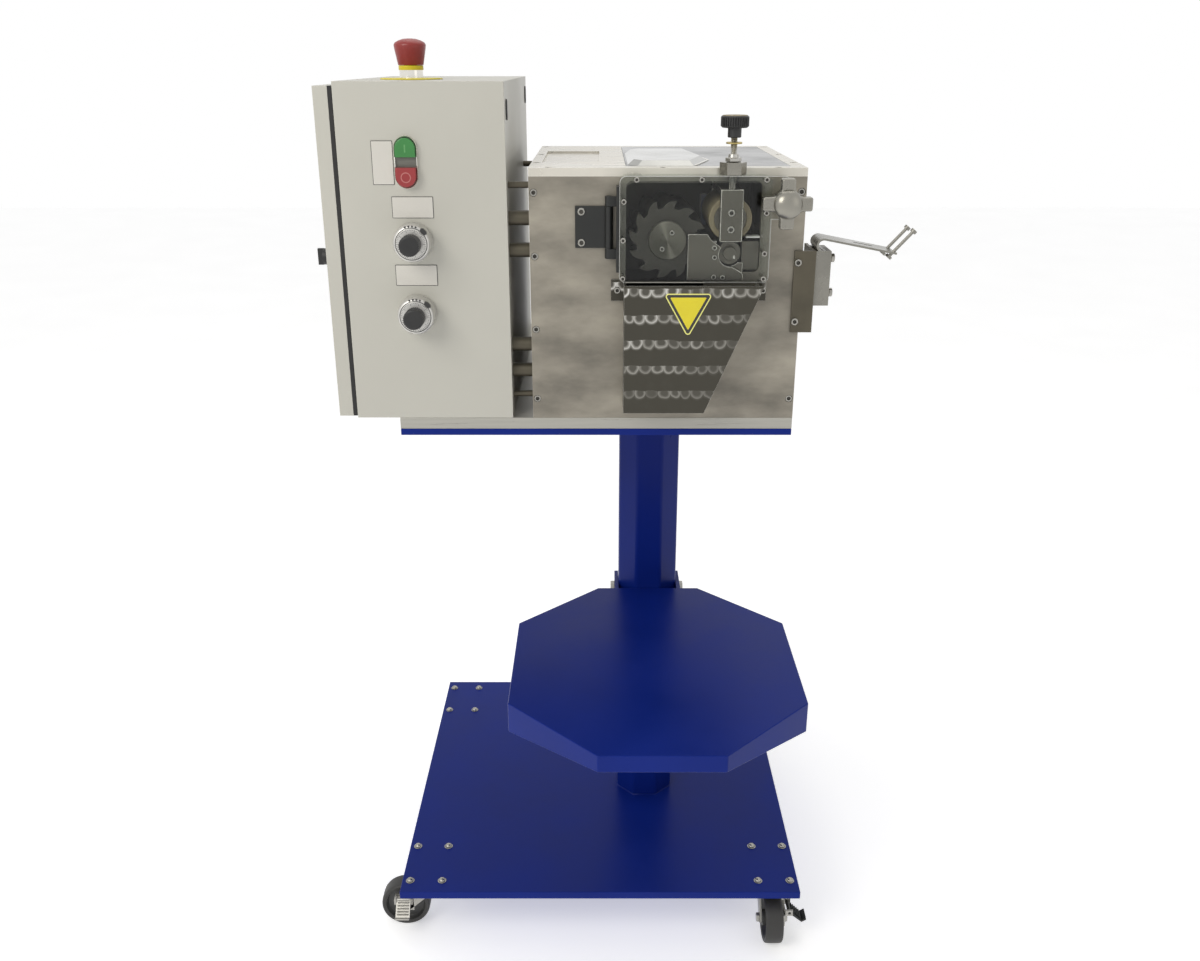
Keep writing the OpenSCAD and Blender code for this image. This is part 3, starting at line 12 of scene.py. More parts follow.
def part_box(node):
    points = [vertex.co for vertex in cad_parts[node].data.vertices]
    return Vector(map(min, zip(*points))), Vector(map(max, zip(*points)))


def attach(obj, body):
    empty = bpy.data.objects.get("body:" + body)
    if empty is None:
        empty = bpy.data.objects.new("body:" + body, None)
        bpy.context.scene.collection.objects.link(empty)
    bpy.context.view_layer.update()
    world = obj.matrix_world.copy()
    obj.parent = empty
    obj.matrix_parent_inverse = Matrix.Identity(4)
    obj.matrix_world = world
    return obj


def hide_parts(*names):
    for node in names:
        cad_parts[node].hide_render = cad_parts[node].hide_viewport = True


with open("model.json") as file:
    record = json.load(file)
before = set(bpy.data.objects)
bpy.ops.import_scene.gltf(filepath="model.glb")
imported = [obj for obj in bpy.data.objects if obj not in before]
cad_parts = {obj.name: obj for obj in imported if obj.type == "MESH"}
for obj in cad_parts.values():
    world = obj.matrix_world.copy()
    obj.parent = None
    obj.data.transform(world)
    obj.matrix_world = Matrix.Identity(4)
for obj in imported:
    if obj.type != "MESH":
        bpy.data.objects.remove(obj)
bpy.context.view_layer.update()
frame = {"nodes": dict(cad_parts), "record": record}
NODES = frame["nodes"]
OWNER = {n: b for b, ns in frame["record"]["behaviour"]["bodies"].items() for n in ns}
SLOT = {s["node"]: s["material_slot"] for s in frame["record"]["subparts"]}

# places
_lo, _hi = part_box("base_plate")
CX, CY = (_lo.x + _hi.x) * 500, (_lo.y + _hi.y) * 500
BODY = "machine_frame"
BASE, BASE_LOW, BASE_TOP = 610, 95.3, 108
CASTER_X, CASTER_Y, TRAIL, WHEEL_R = 268, 240, 40, 38
FRONT, DECK, BOX_TOP = -293, 859.8, 1171.3
BOX_L, BOX_R, BOX_B = -86, 248, 61
CAB_R, CAB_TOP = -112, 1268.3
TABLE_L, TABLE_R, TABLE_B, TABLE_Z, MOUNT_Z = -258, 248, 253, 836, 844.8
COL_X, COL_Y, COL_W = 76, -20, 92
TRAY_X, TRAY_Z, TRAY_F, TRAY_B, TRAY_W, TRAY_C = 76, 504, -523.3, -66.3, 394, 118
ROT_X, ROT_Z, ROT_R = 81, 1087.6, 47
ROLL_X, LOW_Z, UP_Z, ROLL_F, ROLL_B = 157, 1072.1, 1112.4, -300, -200
WALL_F, KNIFE_F, CHAMBER_F = -193, -307, -300.3
SCREW_Y, CARRIER_F, CARRIER_LOW, CARRIER_TOP = -305.8, -311.3, 1086.4, 1147.9
CAP_F, CHUTE_F = -309.3, -338.0
G_L, G_R, G_LOW, G_TOP, G_F, G_T, G_ROUND = 23, 203, 1039.3, 1164.3, -323, 6, 8
STAR_X, STAR_Z = 217, 1135.3
BUTTON_X, START_Z, STOP_Z = -230, 1193.8, 1161.8
ESTOP = (-237.5, -172)
DIAL_X, DIALS, DIAL_F = -226, {"upper": 1085, "lower": 997}, -318.3


def V(x, y, z):
    return Vector(((x + CX) / 1000, (y + CY) / 1000, z / 1000))


# meshes
AXES = {"x": (1, 2, 0), "y": (0, 2, 1), "z": (0, 1, 2)}


def place(axis, a, b, t):
    """A point from two coordinates across an axis and one along it."""
    i, j, k = AXES[axis]
    p = [0, 0, 0]
    p[i], p[j], p[k] = a, b, t
    return V(*p)


def circle(cx, cz, r, n, turn=0.0):
    turns = [2 * math.pi * k / n + turn for k in range(n)]
    return [(cx + r * math.cos(a), cz + r * math.sin(a)) for a in turns]


def polar(cx, cz, r, angles):
    """Points at a radius, at angles in degrees."""
    return [(cx + r * math.cos(math.radians(a)), cz + r * math.sin(math.radians(a))) for a in angles]


def arc(cx, cz, r, a0, a1, n=7):
    return polar(cx, cz, r, [a0 + (a1 - a0) * k / n for k in range(n + 1)])


def toothed(cx, cz, count, steps):
    """An outline of equal teeth, each drawn by steps of (share of the tooth, radius)."""
    turns = [(2 * math.pi * (k + d) / count, r) for k in range(count) for d, r in steps]
    return [(cx + r * math.cos(a), cz + r * math.sin(a)) for a, r in turns]


def round_rect(x0, z0, x1, z1, r, n):
    corners = ((x1 - r, z1 - r, 0), (x0 + r, z1 - r, 90), (x0 + r, z0 + r, 180), (x1 - r, z0 + r, 270))
    return [p for cx, cz, a in corners for p in arc(cx, cz, r, a, a + 90, n)]


def finish_mesh(name, bm, mat, body, bevel=0.0, seg=2, rep=(), angle=35, smooth=True, edge=None):
    """A bmesh made into a piece. edge is the material index of its rounded edges."""
    bmesh.ops.remove_doubles(bm, verts=bm.verts, dist=1e-7)
    bmesh.ops.recalc_face_normals(bm, faces=bm.faces)
    me = bpy.data.meshes.new(name)
    bm.to_mesh(me)
    bm.free()
    for m in mat if isinstance(mat, list) else [mat]:
        me.materials.append(m)
    if smooth:
        for p in me.polygons:
            p.use_smooth = True
        me.set_sharp_from_angle(angle=math.radians(angle))
    o = bpy.data.objects.new(name, me)
    bpy.context.scene.collection.objects.link(o)
    if bevel:
        mod = o.modifiers.new("edge", "BEVEL")
        mod.width = bevel / 1000
        mod.segments = seg
        mod.limit_method = "ANGLE"
        mod.angle_limit = math.radians(angle)
        mod.harden_normals = True
        mod.use_clamp_overlap = True
        if edge is not None:
            mod.material = edge
    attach(o, body)
    if rep:
        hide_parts(*rep)


def bridge(bm, rings):
    """Faces between closed rings that have the same number of corners."""
    faces = []
    for a, b in zip(rings, rings[1:]):
        for k in range(len(a)):
            l = (k + 1) % len(a)
            faces.append(bm.faces.new((a[k], a[l], b[l], b[k])))
    return faces


def add_prism(bm, pts, axis, lo, hi, mi=0):
    """A closed outline drawn out along an axis."""
    rings = [[bm.verts.new(place(axis, a, b, t)) for a, b in pts] for t in (lo, hi)]
    for f in [bm.faces.new(ring) for ring in rings] + bridge(bm, rings):
        f.material_index = mi


def add_box(bm, lo, hi, mi=0):
    corners = [(lo[0], lo[1]), (hi[0], lo[1]), (hi[0], hi[1]), (lo[0], hi[1])]
    add_prism(bm, corners, "z", lo[2], hi[2], mi)


def box_piece(name, lo, hi, mat, body, bevel, seg, rep=(), edge=None):
    bm = bmesh.new()
    add_box(bm, lo, hi)
    finish_mesh(name, bm, mat, body, bevel, seg, rep, edge=edge)


def add_lathe(bm, profile, axis, c, seg, mi=0, turn=0.0):
    """A profile of (radius, place along the axis) turned about the axis through c."""
    rings = []
    for r, t in profile:
        ring = [c] if r < 1e-6 else circle(*c, r, seg, turn)
        rings.append([bm.verts.new(place(axis, a, b, t)) for a, b in ring])
    for a, b in zip(rings, rings[1:]):
        if len(a) == 1 and len(b) == 1:
            continue
        for k in range(seg):
            l = (k + 1) % seg
            if len(a) == 1:
                f = bm.faces.new((a[0], b[k], b[l]))
            elif len(b) == 1:
                f = bm.faces.new((a[k], b[0], a[l]))
            else:
                f = bm.faces.new((a[k], b[k], b[l], a[l]))
            f.material_index = mi


def rod(bm, axis, c, r, lo, hi, seg, ch=0.0, mi=0):
    """A solid bar with chamfered ends. With few segments it is a nut or a bolt head."""
    ch = min(ch, r * 0.45, (hi - lo) * 0.45)
    prof = [(0, lo), (r, lo), (r, hi), (0, hi)]
    if ch:
        prof = [(0, lo), (r - ch, lo), (r, lo + ch), (r, hi - ch), (r - ch, hi), (0, hi)]
    add_lathe(bm, prof, axis, c, seg, mi)


def tube(bm, axis, c, ri, ro, lo, hi, seg, ch, mi=0):
    prof = [(ri, lo), (ro - ch, lo), (ro, lo + ch), (ro, hi - ch), (ro - ch, hi), (ri, hi), (ri, lo)]
    add_lathe(bm, prof, axis, c, seg, mi)


def cap_screw(bm, axis, c, t, s, r, h, mi=0):
    """A socket head on a surface at t, looking along s (+1 or -1) on the axis, with its hexagon socket."""
    top, hexagon, hexagon_low = t + s * h, r * 0.56, r * 0.52
    side = [(0, t), (r * 0.98, t), (r, t + s * h * 0.3), (r, t + s * (h - 0.5))]
    add_lathe(bm, side + [(r * 0.88, top), (hexagon, top)], axis, c, 28, mi)
    sides = ((hexagon, top), (hexagon_low, top - s * h * 0.6))
    rings = [[bm.verts.new(place(axis, a, b, z)) for a, b in circle(*c, radius, 6)] for radius, z in sides]
    for f in bridge(bm, rings) + [bm.faces.new(rings[1])]:
        f.material_index = mi + 1


def dressed(node, mat, bevel, seg=2, paint=None, edge=None):
    """A CAD node's own shape with its flat faces joined and its edges rounded, shown in its place."""
    bm = bmesh.new()
    bm.from_mesh(NODES[node].data)
    bmesh.ops.remove_doubles(bm, verts=bm.verts, dist=1e-6)
    bmesh.ops.dissolve_limit(bm, angle_limit=math.radians(0.6), verts=bm.verts, edges=bm.edges)
    if paint:
        for f in bm.faces:
            c = f.calc_center_median()
            f.material_index = paint(c.x * 1000 - CX, c.z * 1000)
    finish_mesh(node + "_look", bm, mat, OWNER[node], bevel, seg, [node], 30, edge=edge)


def bored(name, base, cutter, mat, body, bevel, seg, rep, edge):
    """A piece from an outline drawn in bmesh, less the space of another."""
    def loose(b, n):
        bmesh.ops.recalc_face_normals(b, faces=b.faces)
        me = bpy.data.meshes.new(n)
        b.to_mesh(me)
        b.free()
        o = bpy.data.objects.new(n, me)
        bpy.context.scene.collection.objects.link(o)
        return o
    o, cut = loose(base, name + "_raw"), loose(cutter, name + "_cut")
    mod = o.modifiers.new("cut", "BOOLEAN")
    mod.operation = "DIFFERENCE"
    mod.solver = "EXACT"
    mod.object = cut
    bm = bmesh.new()
    bm.from_object(o, bpy.context.evaluated_depsgraph_get())
    for x in (o, cut):
        bpy.data.objects.remove(x)
    bmesh.ops.remove_doubles(bm, verts=bm.verts, dist=1e-6)
    bmesh.ops.dissolve_limit(bm, angle_limit=math.radians(0.5), verts=bm.verts, edges=bm.edges)
    finish_mesh(name, bm, mat, body, bevel, seg, rep, 30, edge=edge)


# materials
# edges painted brighter: partly wear, partly a painted highlight along the rounded edges
EDGE_WEAR_AND_GLINT_WIDTH, EDGE_WEAR_AND_GLINT_GAIN, EDGE_WEAR_AND_GLINT_LIFT = 0.0012, 1.5, 0.03


def new_mat(name):
    m = bpy.data.materials.new(name)
    m.use_nodes = True
    nt = m.node_tree
    return m, nt, nt.nodes["Principled BSDF"]


def N(nt, kind, **k):
    n = nt.nodes.new(kind)
    for a, b in k.items():
        setattr(n, a, b)
    return n


def noise(nt, scale, detail, stretch=(1, 1, 1)):
    tc = N(nt, "ShaderNodeTexCoord")
    mp = N(nt, "ShaderNodeMapping")
    mp.inputs["Scale"].default_value = stretch
    nz = N(nt, "ShaderNodeTexNoise")
    nz.inputs["Scale"].default_value = scale
    nz.inputs["Detail"].default_value = detail
    nz.inputs["Roughness"].default_value = 0.55
    nt.links.new(tc.outputs["Object"], mp.inputs["Vector"])
    nt.links.new(mp.outputs["Vector"], nz.inputs["Vector"])
    return nz.outputs["Fac"]


def ramp(nt, src, stops):
    r = N(nt, "ShaderNodeValToRGB")
    e = r.color_ramp.elements
    while len(e) < len(stops):
        e.new(0.5)
    for el, (p, c) in zip(e, stops):
        el.position = p
        el.color = (*c, 1)
    nt.links.new(src, r.inputs["Fac"])
    return r.outputs["Color"]


def value_range(nt, src, lo, hi, a, b):
    r = N(nt, "ShaderNodeMapRange")
    for k, v in zip(("From Min", "From Max", "To Min", "To Max"), (lo, hi, a, b)):
        r.inputs[k].default_value = v
    nt.links.new(src, r.inputs["Value"])
    return r.outputs["Result"]


def bump(nt, b, src, strength, dist=0.0002):
    n = N(nt, "ShaderNodeBump")
    n.inputs["Strength"].default_value = strength
    n.inputs["Distance"].default_value = dist
    nt.links.new(src, n.inputs["Height"])
    nt.links.new(n.outputs["Normal"], b.inputs["Normal"])


def shade(c, k):
    return tuple(max(0.0, min(1.0, v * k)) for v in c)


def surface(name, color, metal=0.0, rough=0.5, var=0.08, scale=40, stretch=(1, 1, 1), grain=250, gs=None,
            gstr=0.15, rvar=0.08, coat=0.0, spec=0.5, dist=0.0001, detail=4, wear_and_glint=0.5):
    """Paint or metal: colour and roughness follow one noise, the grain is a bump, edges are painted brighter,
    partly as wear and partly as a painted highlight.
    """
    m, nt, b = new_mat(name)
    n1 = noise(nt, scale, detail, stretch)
    col = ramp(nt, n1, [(0.3, shade(color, 1 - var)), (0.5, color), (0.7, shade(color, 1 + var))])
    geo = N(nt, "ShaderNodeNewGeometry")
    mx = N(nt, "ShaderNodeMix", data_type="RGBA")
    bev = N(nt, "ShaderNodeBevel")
    bev.inputs["Radius"].default_value = EDGE_WEAR_AND_GLINT_WIDTH
    dot = N(nt, "ShaderNodeVectorMath", operation="DOT_PRODUCT")
    nt.links.new(bev.outputs[0], dot.inputs[0])
    nt.links.new(geo.outputs["Normal"], dot.inputs[1])
    # where the rounded normal departs from the face's, the colour is painted brighter: wear and painted
    # highlight
    nt.links.new(value_range(nt, dot.outputs["Value"], 0.995, 0.85, 0.0, wear_and_glint), mx.inputs["Factor"])
    nt.links.new(col, mx.inputs["A"])
    mx.inputs["B"].default_value = (*[min(1.0, v * EDGE_WEAR_AND_GLINT_GAIN + EDGE_WEAR_AND_GLINT_LIFT) for v in color], 1)
    nt.links.new(mx.outputs["Result"], b.inputs["Base Color"])
    nt.links.new(value_range(nt, n1, 0.3, 0.7, rough - rvar, rough + rvar), b.inputs["Roughness"])
    b.inputs["Metallic"].default_value = metal
    b.inputs["Specular IOR Level"].default_value = spec
    if coat:
        b.inputs["Coat Weight"].default_value = coat
        b.inputs["Coat Roughness"].default_value = 0.04
    if gstr:
        bump(nt, b, noise(nt, grain, 2, gs or stretch), gstr, dist)
    return m


# the blue paint gets the strongest painted edge highlight and wear
blue = surface("blue_paint", (0.0045, 0.019, 0.20), 0, 0.34, 0.10, 6, grain=220, gstr=0.05, spec=0.12,
               wear_and_glint=0.9)
zinc = surface("zinc", (0.40, 0.39, 0.36), 0.85, 0.34, 0.10, 60, grain=300)
wheel_m = surface("wheel_rubber", (0.035, 0.034, 0.032), 0, 0.55, 0.15, 50, grain=400)
wheel_hub = surface("wheel_hub", (0.05, 0.05, 0.048), 0, 0.4, 0.1, 60)
bare = surface("bare_plate", (0.40, 0.39, 0.35), 0.4, 0.34, 0.06, 12, (1, 1, 30), 160, (1, 1, 14), 0.12)
panel = surface("brushed_panel", (0.265, 0.243, 0.20), 0.35, 0.42, 0.42, 10, (1, 1, 2.2), 90,
                (0.4, 1, 9), 0.10, 0.07, detail=8)
panel_top = surface("top_plate", (0.66, 0.63, 0.56), 0.4, 0.30, 0.06, 20, (1, 6, 1), 120, (1, 12, 1), 0.08)
dark_win = surface("dark_window", (0.045, 0.048, 0.046), 0, 0.16, 0.2, 9, grain=120, gstr=0.04, spec=0.22)
hump_m = surface("window_hump", (0.40, 0.40, 0.38), 0.8, 0.14, 0.12, 14, grain=80, gstr=0.05)
dark_steel = surface("dark_steel", (0.095, 0.084, 0.060), 0.6, 0.42, 0.14, 30, grain=200)
chamber = surface("chamber", (0.055, 0.051, 0.038), 0.35, 0.5, 0.12, 18, grain=160)
knife_m = surface("knife_plate", (0.125, 0.117, 0.098), 0.75, 0.38, 0.10, 16, (1, 1, 1), 140, (1, 1, 8), 0.12)
rotor_m = surface("rotor_steel", (0.050, 0.047, 0.038), 0.5, 0.42, 0.15, 40, grain=220, gstr=0.04)
bright = surface("bright_steel", (0.44, 0.43, 0.40), 0.9, 0.26, 0.08, 40, (1, 6, 1), 200, (1, 8, 1), 0.1)
black_steel = surface("black_steel", (0.012, 0.013, 0.012), 0.1, 0.38, 0.2, 30, grain=300)
motor_m = surface("motor_grey", (0.09, 0.10, 0.11), 0.1, 0.45, 0.08, 30)
rubber = surface("black_rubber", (0.015, 0.015, 0.015), 0, 0.7, 0.2, 60, grain=500)
cab = surface("cabinet_paint", (0.52, 0.51, 0.455), 0, 0.42, 0.025, 5, grain=420, gstr=0.22, dist=0.00012)
black_pl = surface("black_plastic", (0.012, 0.012, 0.012), 0, 0.42, 0.2, 60, grain=450)
trim = surface("satin_trim", (0.55, 0.54, 0.51), 0.8, 0.28, 0.06, 60)
cast_al = surface("cast_aluminium", (0.27, 0.26, 0.228), 0.85, 0.27, 0.10, 26, grain=130, gstr=0.25,
                  dist=0.0004)
drive_pl = surface("drive_plastic", (0.05, 0.055, 0.06), 0, 0.5, 0.1, 40)
tan = surface("roll_cover", (0.30, 0.25, 0.155), 0, 0.6, 0.10, 40, grain=260)
red = surface("red_plastic", (0.27, 0.022, 0.018), 0, 0.38, 0.06, 30, coat=0.15)
green = surface("green_plastic", (0.035, 0.21, 0.045), 0, 0.38, 0.06, 30, coat=0.15)
red_b = surface("red_button", (0.30, 0.026, 0.028), 0, 0.38, 0.06, 30, coat=0.15)
yellow = surface("yellow_paint", (0.72, 0.60, 0.02), 0, 0.4, 0.04, 30)
cream = surface("yellow_edge", (0.80, 0.78, 0.22), 0, 0.4, 0.04, 30)
label = surface("label_white", (0.63, 0.61, 0.56), 0, 0.45, 0.02, 30)
ink = surface("ink", (0.03, 0.03, 0.03), 0, 0.5, 0.1, 30)
socket = surface("socket_dark", (0.06, 0.056, 0.048), 0.4, 0.5, 0.2, 60)
brass = surface("brass", (0.45, 0.36, 0.14), 0.85, 0.3, 0.1, 60)
bolt = surface("bolt_steel", (0.34, 0.33, 0.30), 0.9, 0.22, 0.12, 90, grain=260)
edge_m = surface("machined_edge", (0.72, 0.70, 0.64), 0.8, 0.25, 0.05, 40)
guard_edge = surface("guard_edge", (0.55, 0.55, 0.53), 0.1, 0.35, 0.1, 60)
grey_strip = surface("grey_strip", (0.10, 0.11, 0.15), 0.4, 0.35)
white_strip = surface("white_strip", (0.82, 0.82, 0.80), 0, 0.4)
strap = surface("strap_steel", (0.24, 0.232, 0.205), 0.6, 0.24, 0.1, 30)
block_m = surface("block_steel", (0.15, 0.133, 0.10), 0.3, 0.4, 0.1, 30)
chrome = surface("chrome", (0.75, 0.73, 0.68), 0.95, 0.12, 0.05, 40)
grey_in = surface("bezel_inside", (0.16, 0.16, 0.14), 0.3, 0.35, 0.2, 30, (1, 1, 6))
green_mark = surface("green_mark", (0.10, 0.30, 0.10), 0, 0.5)
red_mark = surface("red_mark", (0.42, 0.14, 0.13), 0, 0.5)
silver = surface("dial_silver", (0.60, 0.59, 0.56), 0.55, 0.32, 0.04, 60)


def calculator(nt):
    """A function that adds a Math node to a tree and gives its output."""
    def calc(op, *values):
        n = N(nt, "ShaderNodeMath", operation=op)
        for i, v in enumerate(values):
            if isinstance(v, (int, float)):
                n.inputs[i].default_value = v
            else:
                nt.links.new(v, n.inputs[i])
        return n.outputs[0]
    return calc


def object_places(nt):
    """X, Y and Z of the object's own coordinates."""
    sep = N(nt, "ShaderNodeSeparateXYZ")
    nt.links.new(N(nt, "ShaderNodeTexCoord").outputs["Object"], sep.inputs[0])
    return sep.outputs


def clear_plastic():
    m, nt, b = new_mat("clear_guard")
    tr = N(nt, "ShaderNodeBsdfTransparent")
    tr.inputs["Color"].default_value = (0.93, 0.94, 0.93, 1)
    gl = N(nt, "ShaderNodeBsdfGlossy")
    gl.inputs["Color"].default_value = (1, 1, 1, 1)
    nt.links.new(value_range(nt, noise(nt, 60, 4), 0.3, 0.7, 0.03, 0.12), gl.inputs["Roughness"])
    fr = N(nt, "ShaderNodeFresnel")
    fr.inputs["IOR"].default_value = 1.46
    mx = N(nt, "ShaderNodeMixShader")
    nt.links.new(calculator(nt)("MULTIPLY", fr.outputs["Fac"], 0.4), mx.inputs["Fac"])
    nt.links.new(tr.outputs["BSDF"], mx.inputs[1])
    nt.links.new(gl.outputs["BSDF"], mx.inputs[2])
    nt.links.new(mx.outputs["Shader"], nt.nodes["Material Output"].inputs["Surface"])
    nt.nodes.remove(b)
    return m


def swirl_sheet():
    """Sheet finished in rows of overlapping round swirls, shown by painted highlights: bright crescents on a
    dark ground.
    """
    pitch, row, first_row = 0.0142, 0.0316, 1.0385
    m, nt, b = new_mat("swirl_sheet")
    calc, at = calculator(nt), object_places(nt)
    # rows and swirls waver a little, and each row is shifted
    x = calc("MULTIPLY_ADD", noise(nt, 14, 3), 0.022, at["X"])
    z = calc("MULTIPLY_ADD", noise(nt, 60, 2), 0.006, at["Z"])
    rows = calc("MULTIPLY", calc("SUBTRACT", z, first_row), -1 / row)
    row_no, down = calc("FLOOR", rows), calc("FRACT", rows)
    shift = calc("FRACT", calc("MULTIPLY", row_no, 0.37))
    swirls = calc("ADD", calc("MULTIPLY", x, 1 / pitch), shift)
    # a crescent is the lower half of a ring
    dx = calc("SUBTRACT", calc("FRACT", swirls), 0.5)
    dz = calc("MULTIPLY", calc("SUBTRACT", down, 0.10), row / pitch)
    d = calc("SQRT", calc("ADD", calc("MULTIPLY", dx, dx), calc("MULTIPLY", dz, dz)))
    off_ring = calc("MULTIPLY", calc("ABSOLUTE", calc("SUBTRACT", d, 0.46)), 4.6)
    ring = calc("MAXIMUM", calc("SUBTRACT", 1.0, off_ring), 0.0)
    ring = calc("MULTIPLY", ring, calc("GREATER_THAN", dz, -0.18))
    inside = calc("MULTIPLY", calc("LESS_THAN", down, 0.42), calc("LESS_THAN", d, 0.5))
    # each painted highlight crescent has its own strength, and painted shade dims them towards the chute's
    # foot and right side
    cell = N(nt, "ShaderNodeCombineXYZ")
    nt.links.new(calc("FLOOR", swirls), cell.inputs[0])
    nt.links.new(row_no, cell.inputs[1])
    own = N(nt, "ShaderNodeTexWhiteNoise", noise_dimensions="2D")
    nt.links.new(cell.outputs[0], own.inputs["Vector"])
    painted_glint = calc("MULTIPLY", ring, calc("MULTIPLY_ADD", own.outputs["Value"], 0.75, 0.25))
    painted_glint = calc("MULTIPLY", painted_glint, value_range(nt, z, 0.90, 1.03, 0.35, 1.0))
    painted_glint = calc("MULTIPLY", painted_glint, value_range(nt, at["X"], 0.06, 0.16, 1.0, 0.55))
    level = calc("ADD", calc("MULTIPLY", painted_glint, 0.85), calc("MULTIPLY", inside, 0.13))
    level = calc("ADD", level, calc("MULTIPLY", calc("SUBTRACT", noise(nt, 40, 6), 0.5), 0.10))
    tones = [(0.0, (0.050, 0.046, 0.034)), (0.15, (0.085, 0.08, 0.066)), (0.5, (0.30, 0.29, 0.26)),
             (1.0, (0.78, 0.77, 0.74))]
    nt.links.new(ramp(nt, level, tones), b.inputs["Base Color"])
    b.inputs["Metallic"].default_value = 0.45
    nt.links.new(value_range(nt, level, 0, 1, 0.45, 0.25), b.inputs["Roughness"])
    bump(nt, b, level, 0.12, 0.0003)
    return m


def turned_face(name, color, light, cx, cz, turn):
    """A lathe-turned disc with painted reflections: bright rays that fan out from its centre, and one side
    painted lighter.
    """
    m, nt, b = new_mat(name)
    calc, at, o = calculator(nt), object_places(nt), V(cx, 0, cz)
    ang = calc("ARCTAN2", calc("SUBTRACT", at["Z"], o.z), calc("SUBTRACT", at["X"], o.x))
    rays = calc("SINE", calc("MULTIPLY_ADD", ang, 2.0, -2 * math.radians(turn) + math.pi / 2))
    rays = calc("POWER", calc("MAXIMUM", rays, 0.0), 9.0)
    # painted light: one side of the disc is lighter
    side = calc("MULTIPLY_ADD", calc("SINE", calc("MULTIPLY_ADD", ang, 1.0, 0.6)), 0.22, 0.22)
    level = calc("ADD", calc("MULTIPLY", rays, 0.55), side)
    level = calc("ADD", level, calc("MULTIPLY", calc("SUBTRACT", noise(nt, 70, 4), 0.5), 0.12))
    nt.links.new(ramp(nt, level, [(0.0, color), (1.0, light)]), b.inputs["Base Color"])
    b.inputs["Metallic"].default_value = 0.5
    nt.links.new(value_range(nt, level, 0, 1, 0.42, 0.3), b.inputs["Roughness"])
    bump(nt, b, noise(nt, 300, 2), 0.03)
    return m


clear = clear_plastic()
swirl = swirl_sheet()
cap_m = turned_face("turned_cap", (0.050, 0.048, 0.036), (0.24, 0.23, 0.19), ROT_X, ROT_Z, 106)

CAD_LOOKS = {
    "stand_blue": blue, "zinc": zinc, "wheel_grey": wheel_m, "bare_plate": bare, "panel": panel,
    "dark_window": dark_win, "dark_steel": dark_steel, "bright_steel": bright, "black_steel": black_steel,
    "motor_grey": motor_m, "belt_rubber": rubber, "swirl_sheet": swirl, "cabinet_grey": cab,
    "black_plastic": black_pl, "trim": trim, "drive_plastic": drive_pl, "roll_tan": tan, "clear_guard": clear,
    "red_plastic": red, "green_plastic": green,
}
for node, material_slot in SLOT.items():
    NODES[node].data.materials.clear()
    NODES[node].data.materials.append(CAD_LOOKS[material_slot])

# camera and light
CAM_Y, CAM_Z, CAM_DOWN, LENS = -1659, 1292, 20.8, 33.27
scene = bpy.context.scene
scene.view_settings.view_transform = "Standard"
cam_data = bpy.data.cameras.new("camera")
cam_data.sensor_width = 36
cam_data.lens = LENS
cam = bpy.data.objects.new("camera", cam_data)
cam.location = V(0, CAM_Y, CAM_Z)
cam.rotation_euler = (math.radians(90 - CAM_DOWN), 0, 0)
scene.collection.objects.link(cam)
scene.camera = cam

# the world looks white, and lights the part more from the top and the left
world = bpy.data.worlds.new("studio")
scene.world = world
world.use_nodes = True
wt = world.node_tree
calc = calculator(wt)
lp = N(wt, "ShaderNodeLightPath")
sep = N(wt, "ShaderNodeSeparateXYZ")
wt.links.new(N(wt, "ShaderNodeTexCoord").outputs["Generated"], sep.inputs[0])
leaning = calc("MULTIPLY_ADD", sep.outputs["X"], -0.45, sep.outputs["Z"])
grey = value_range(wt, leaning, -0.3, 1.2, 0.10, 0.78)
env = N(wt, "ShaderNodeCombineColor")
for ch in ("Red", "Green", "Blue"):
    wt.links.new(grey, env.inputs[ch])
mixw = N(wt, "ShaderNodeMix", data_type="RGBA")
seen = calc("MAXIMUM", lp.outputs["Is Camera Ray"], lp.outputs["Is Glossy Ray"])
wt.links.new(calc("MAXIMUM", seen, lp.outputs["Is Transmission Ray"]), mixw.inputs["Factor"])
wt.links.new(env.outputs["Color"], mixw.inputs["A"])
mixw.inputs["B"].default_value = (1, 1, 1, 1)
bg = wt.nodes["Background"]
wt.links.new(mixw.outputs["Result"], bg.inputs["Color"])
bg.inputs["Strength"].default_value = 1.0


def area(name, loc, target, size, power, color):
    lamp = bpy.data.lights.new(name, "AREA")
    lamp.shape = "RECTANGLE"
    lamp.size, lamp.size_y = size
    lamp.energy = power
    lamp.color = color
    o = bpy.data.objects.new(name, lamp)
    o.location = loc
    o.rotation_euler = (Vector(target) - Vector(loc)).to_track_quat("-Z", "Y").to_euler()
    scene.collection.objects.link(o)


area("key", (-1.4, -1.7, 2.2), (0, 0, 0.9), (1.2, 1.2), 22, (1, 0.97, 0.91))
area("fill", (1.8, -1.6, 1.6), (0, 0, 0.8), (1.2, 1.6), 2.5, (1, 0.95, 0.87))
area("top", (0.2, 0.6, 3.0), (0, 0, 0.8), (2.0, 1.6), 11, (1, 0.98, 0.94))

FLOOR_HALF = 9
fm, fnt, fb = new_mat("floor")
fcol = ramp(fnt, noise(fnt, 3, 2), [(0.3, (0.93, 0.93, 0.93)), (0.7, (0.97, 0.97, 0.97))])
fnt.links.new(fcol, fb.inputs["Base Color"])
fb.inputs["Roughness"].default_value = 0.9
fb.inputs["Emission Color"].default_value = (1, 1, 1, 1)
fb.inputs["Emission Strength"].default_value = 0.45
bm = bmesh.new()
for x, y in ((-1, -1), (1, -1), (1, 1), (-1, 1)):
    bm.verts.new((x * FLOOR_HALF, y * FLOOR_HALF, 0))
bm.faces.new(bm.verts)
fme = bpy.data.meshes.new("floor")
bm.to_mesh(fme)
bm.free()
fme.materials.append(fm)
floor = bpy.data.objects.new("floor", fme)
scene.collection.objects.link(floor)

# stand
HALF = BASE / 2
box_piece("base_plate_look", (-HALF, -HALF, BASE_LOW), (HALF, HALF, BASE_TOP), blue, BODY, 1.2, 3,
          ["base_plate"])

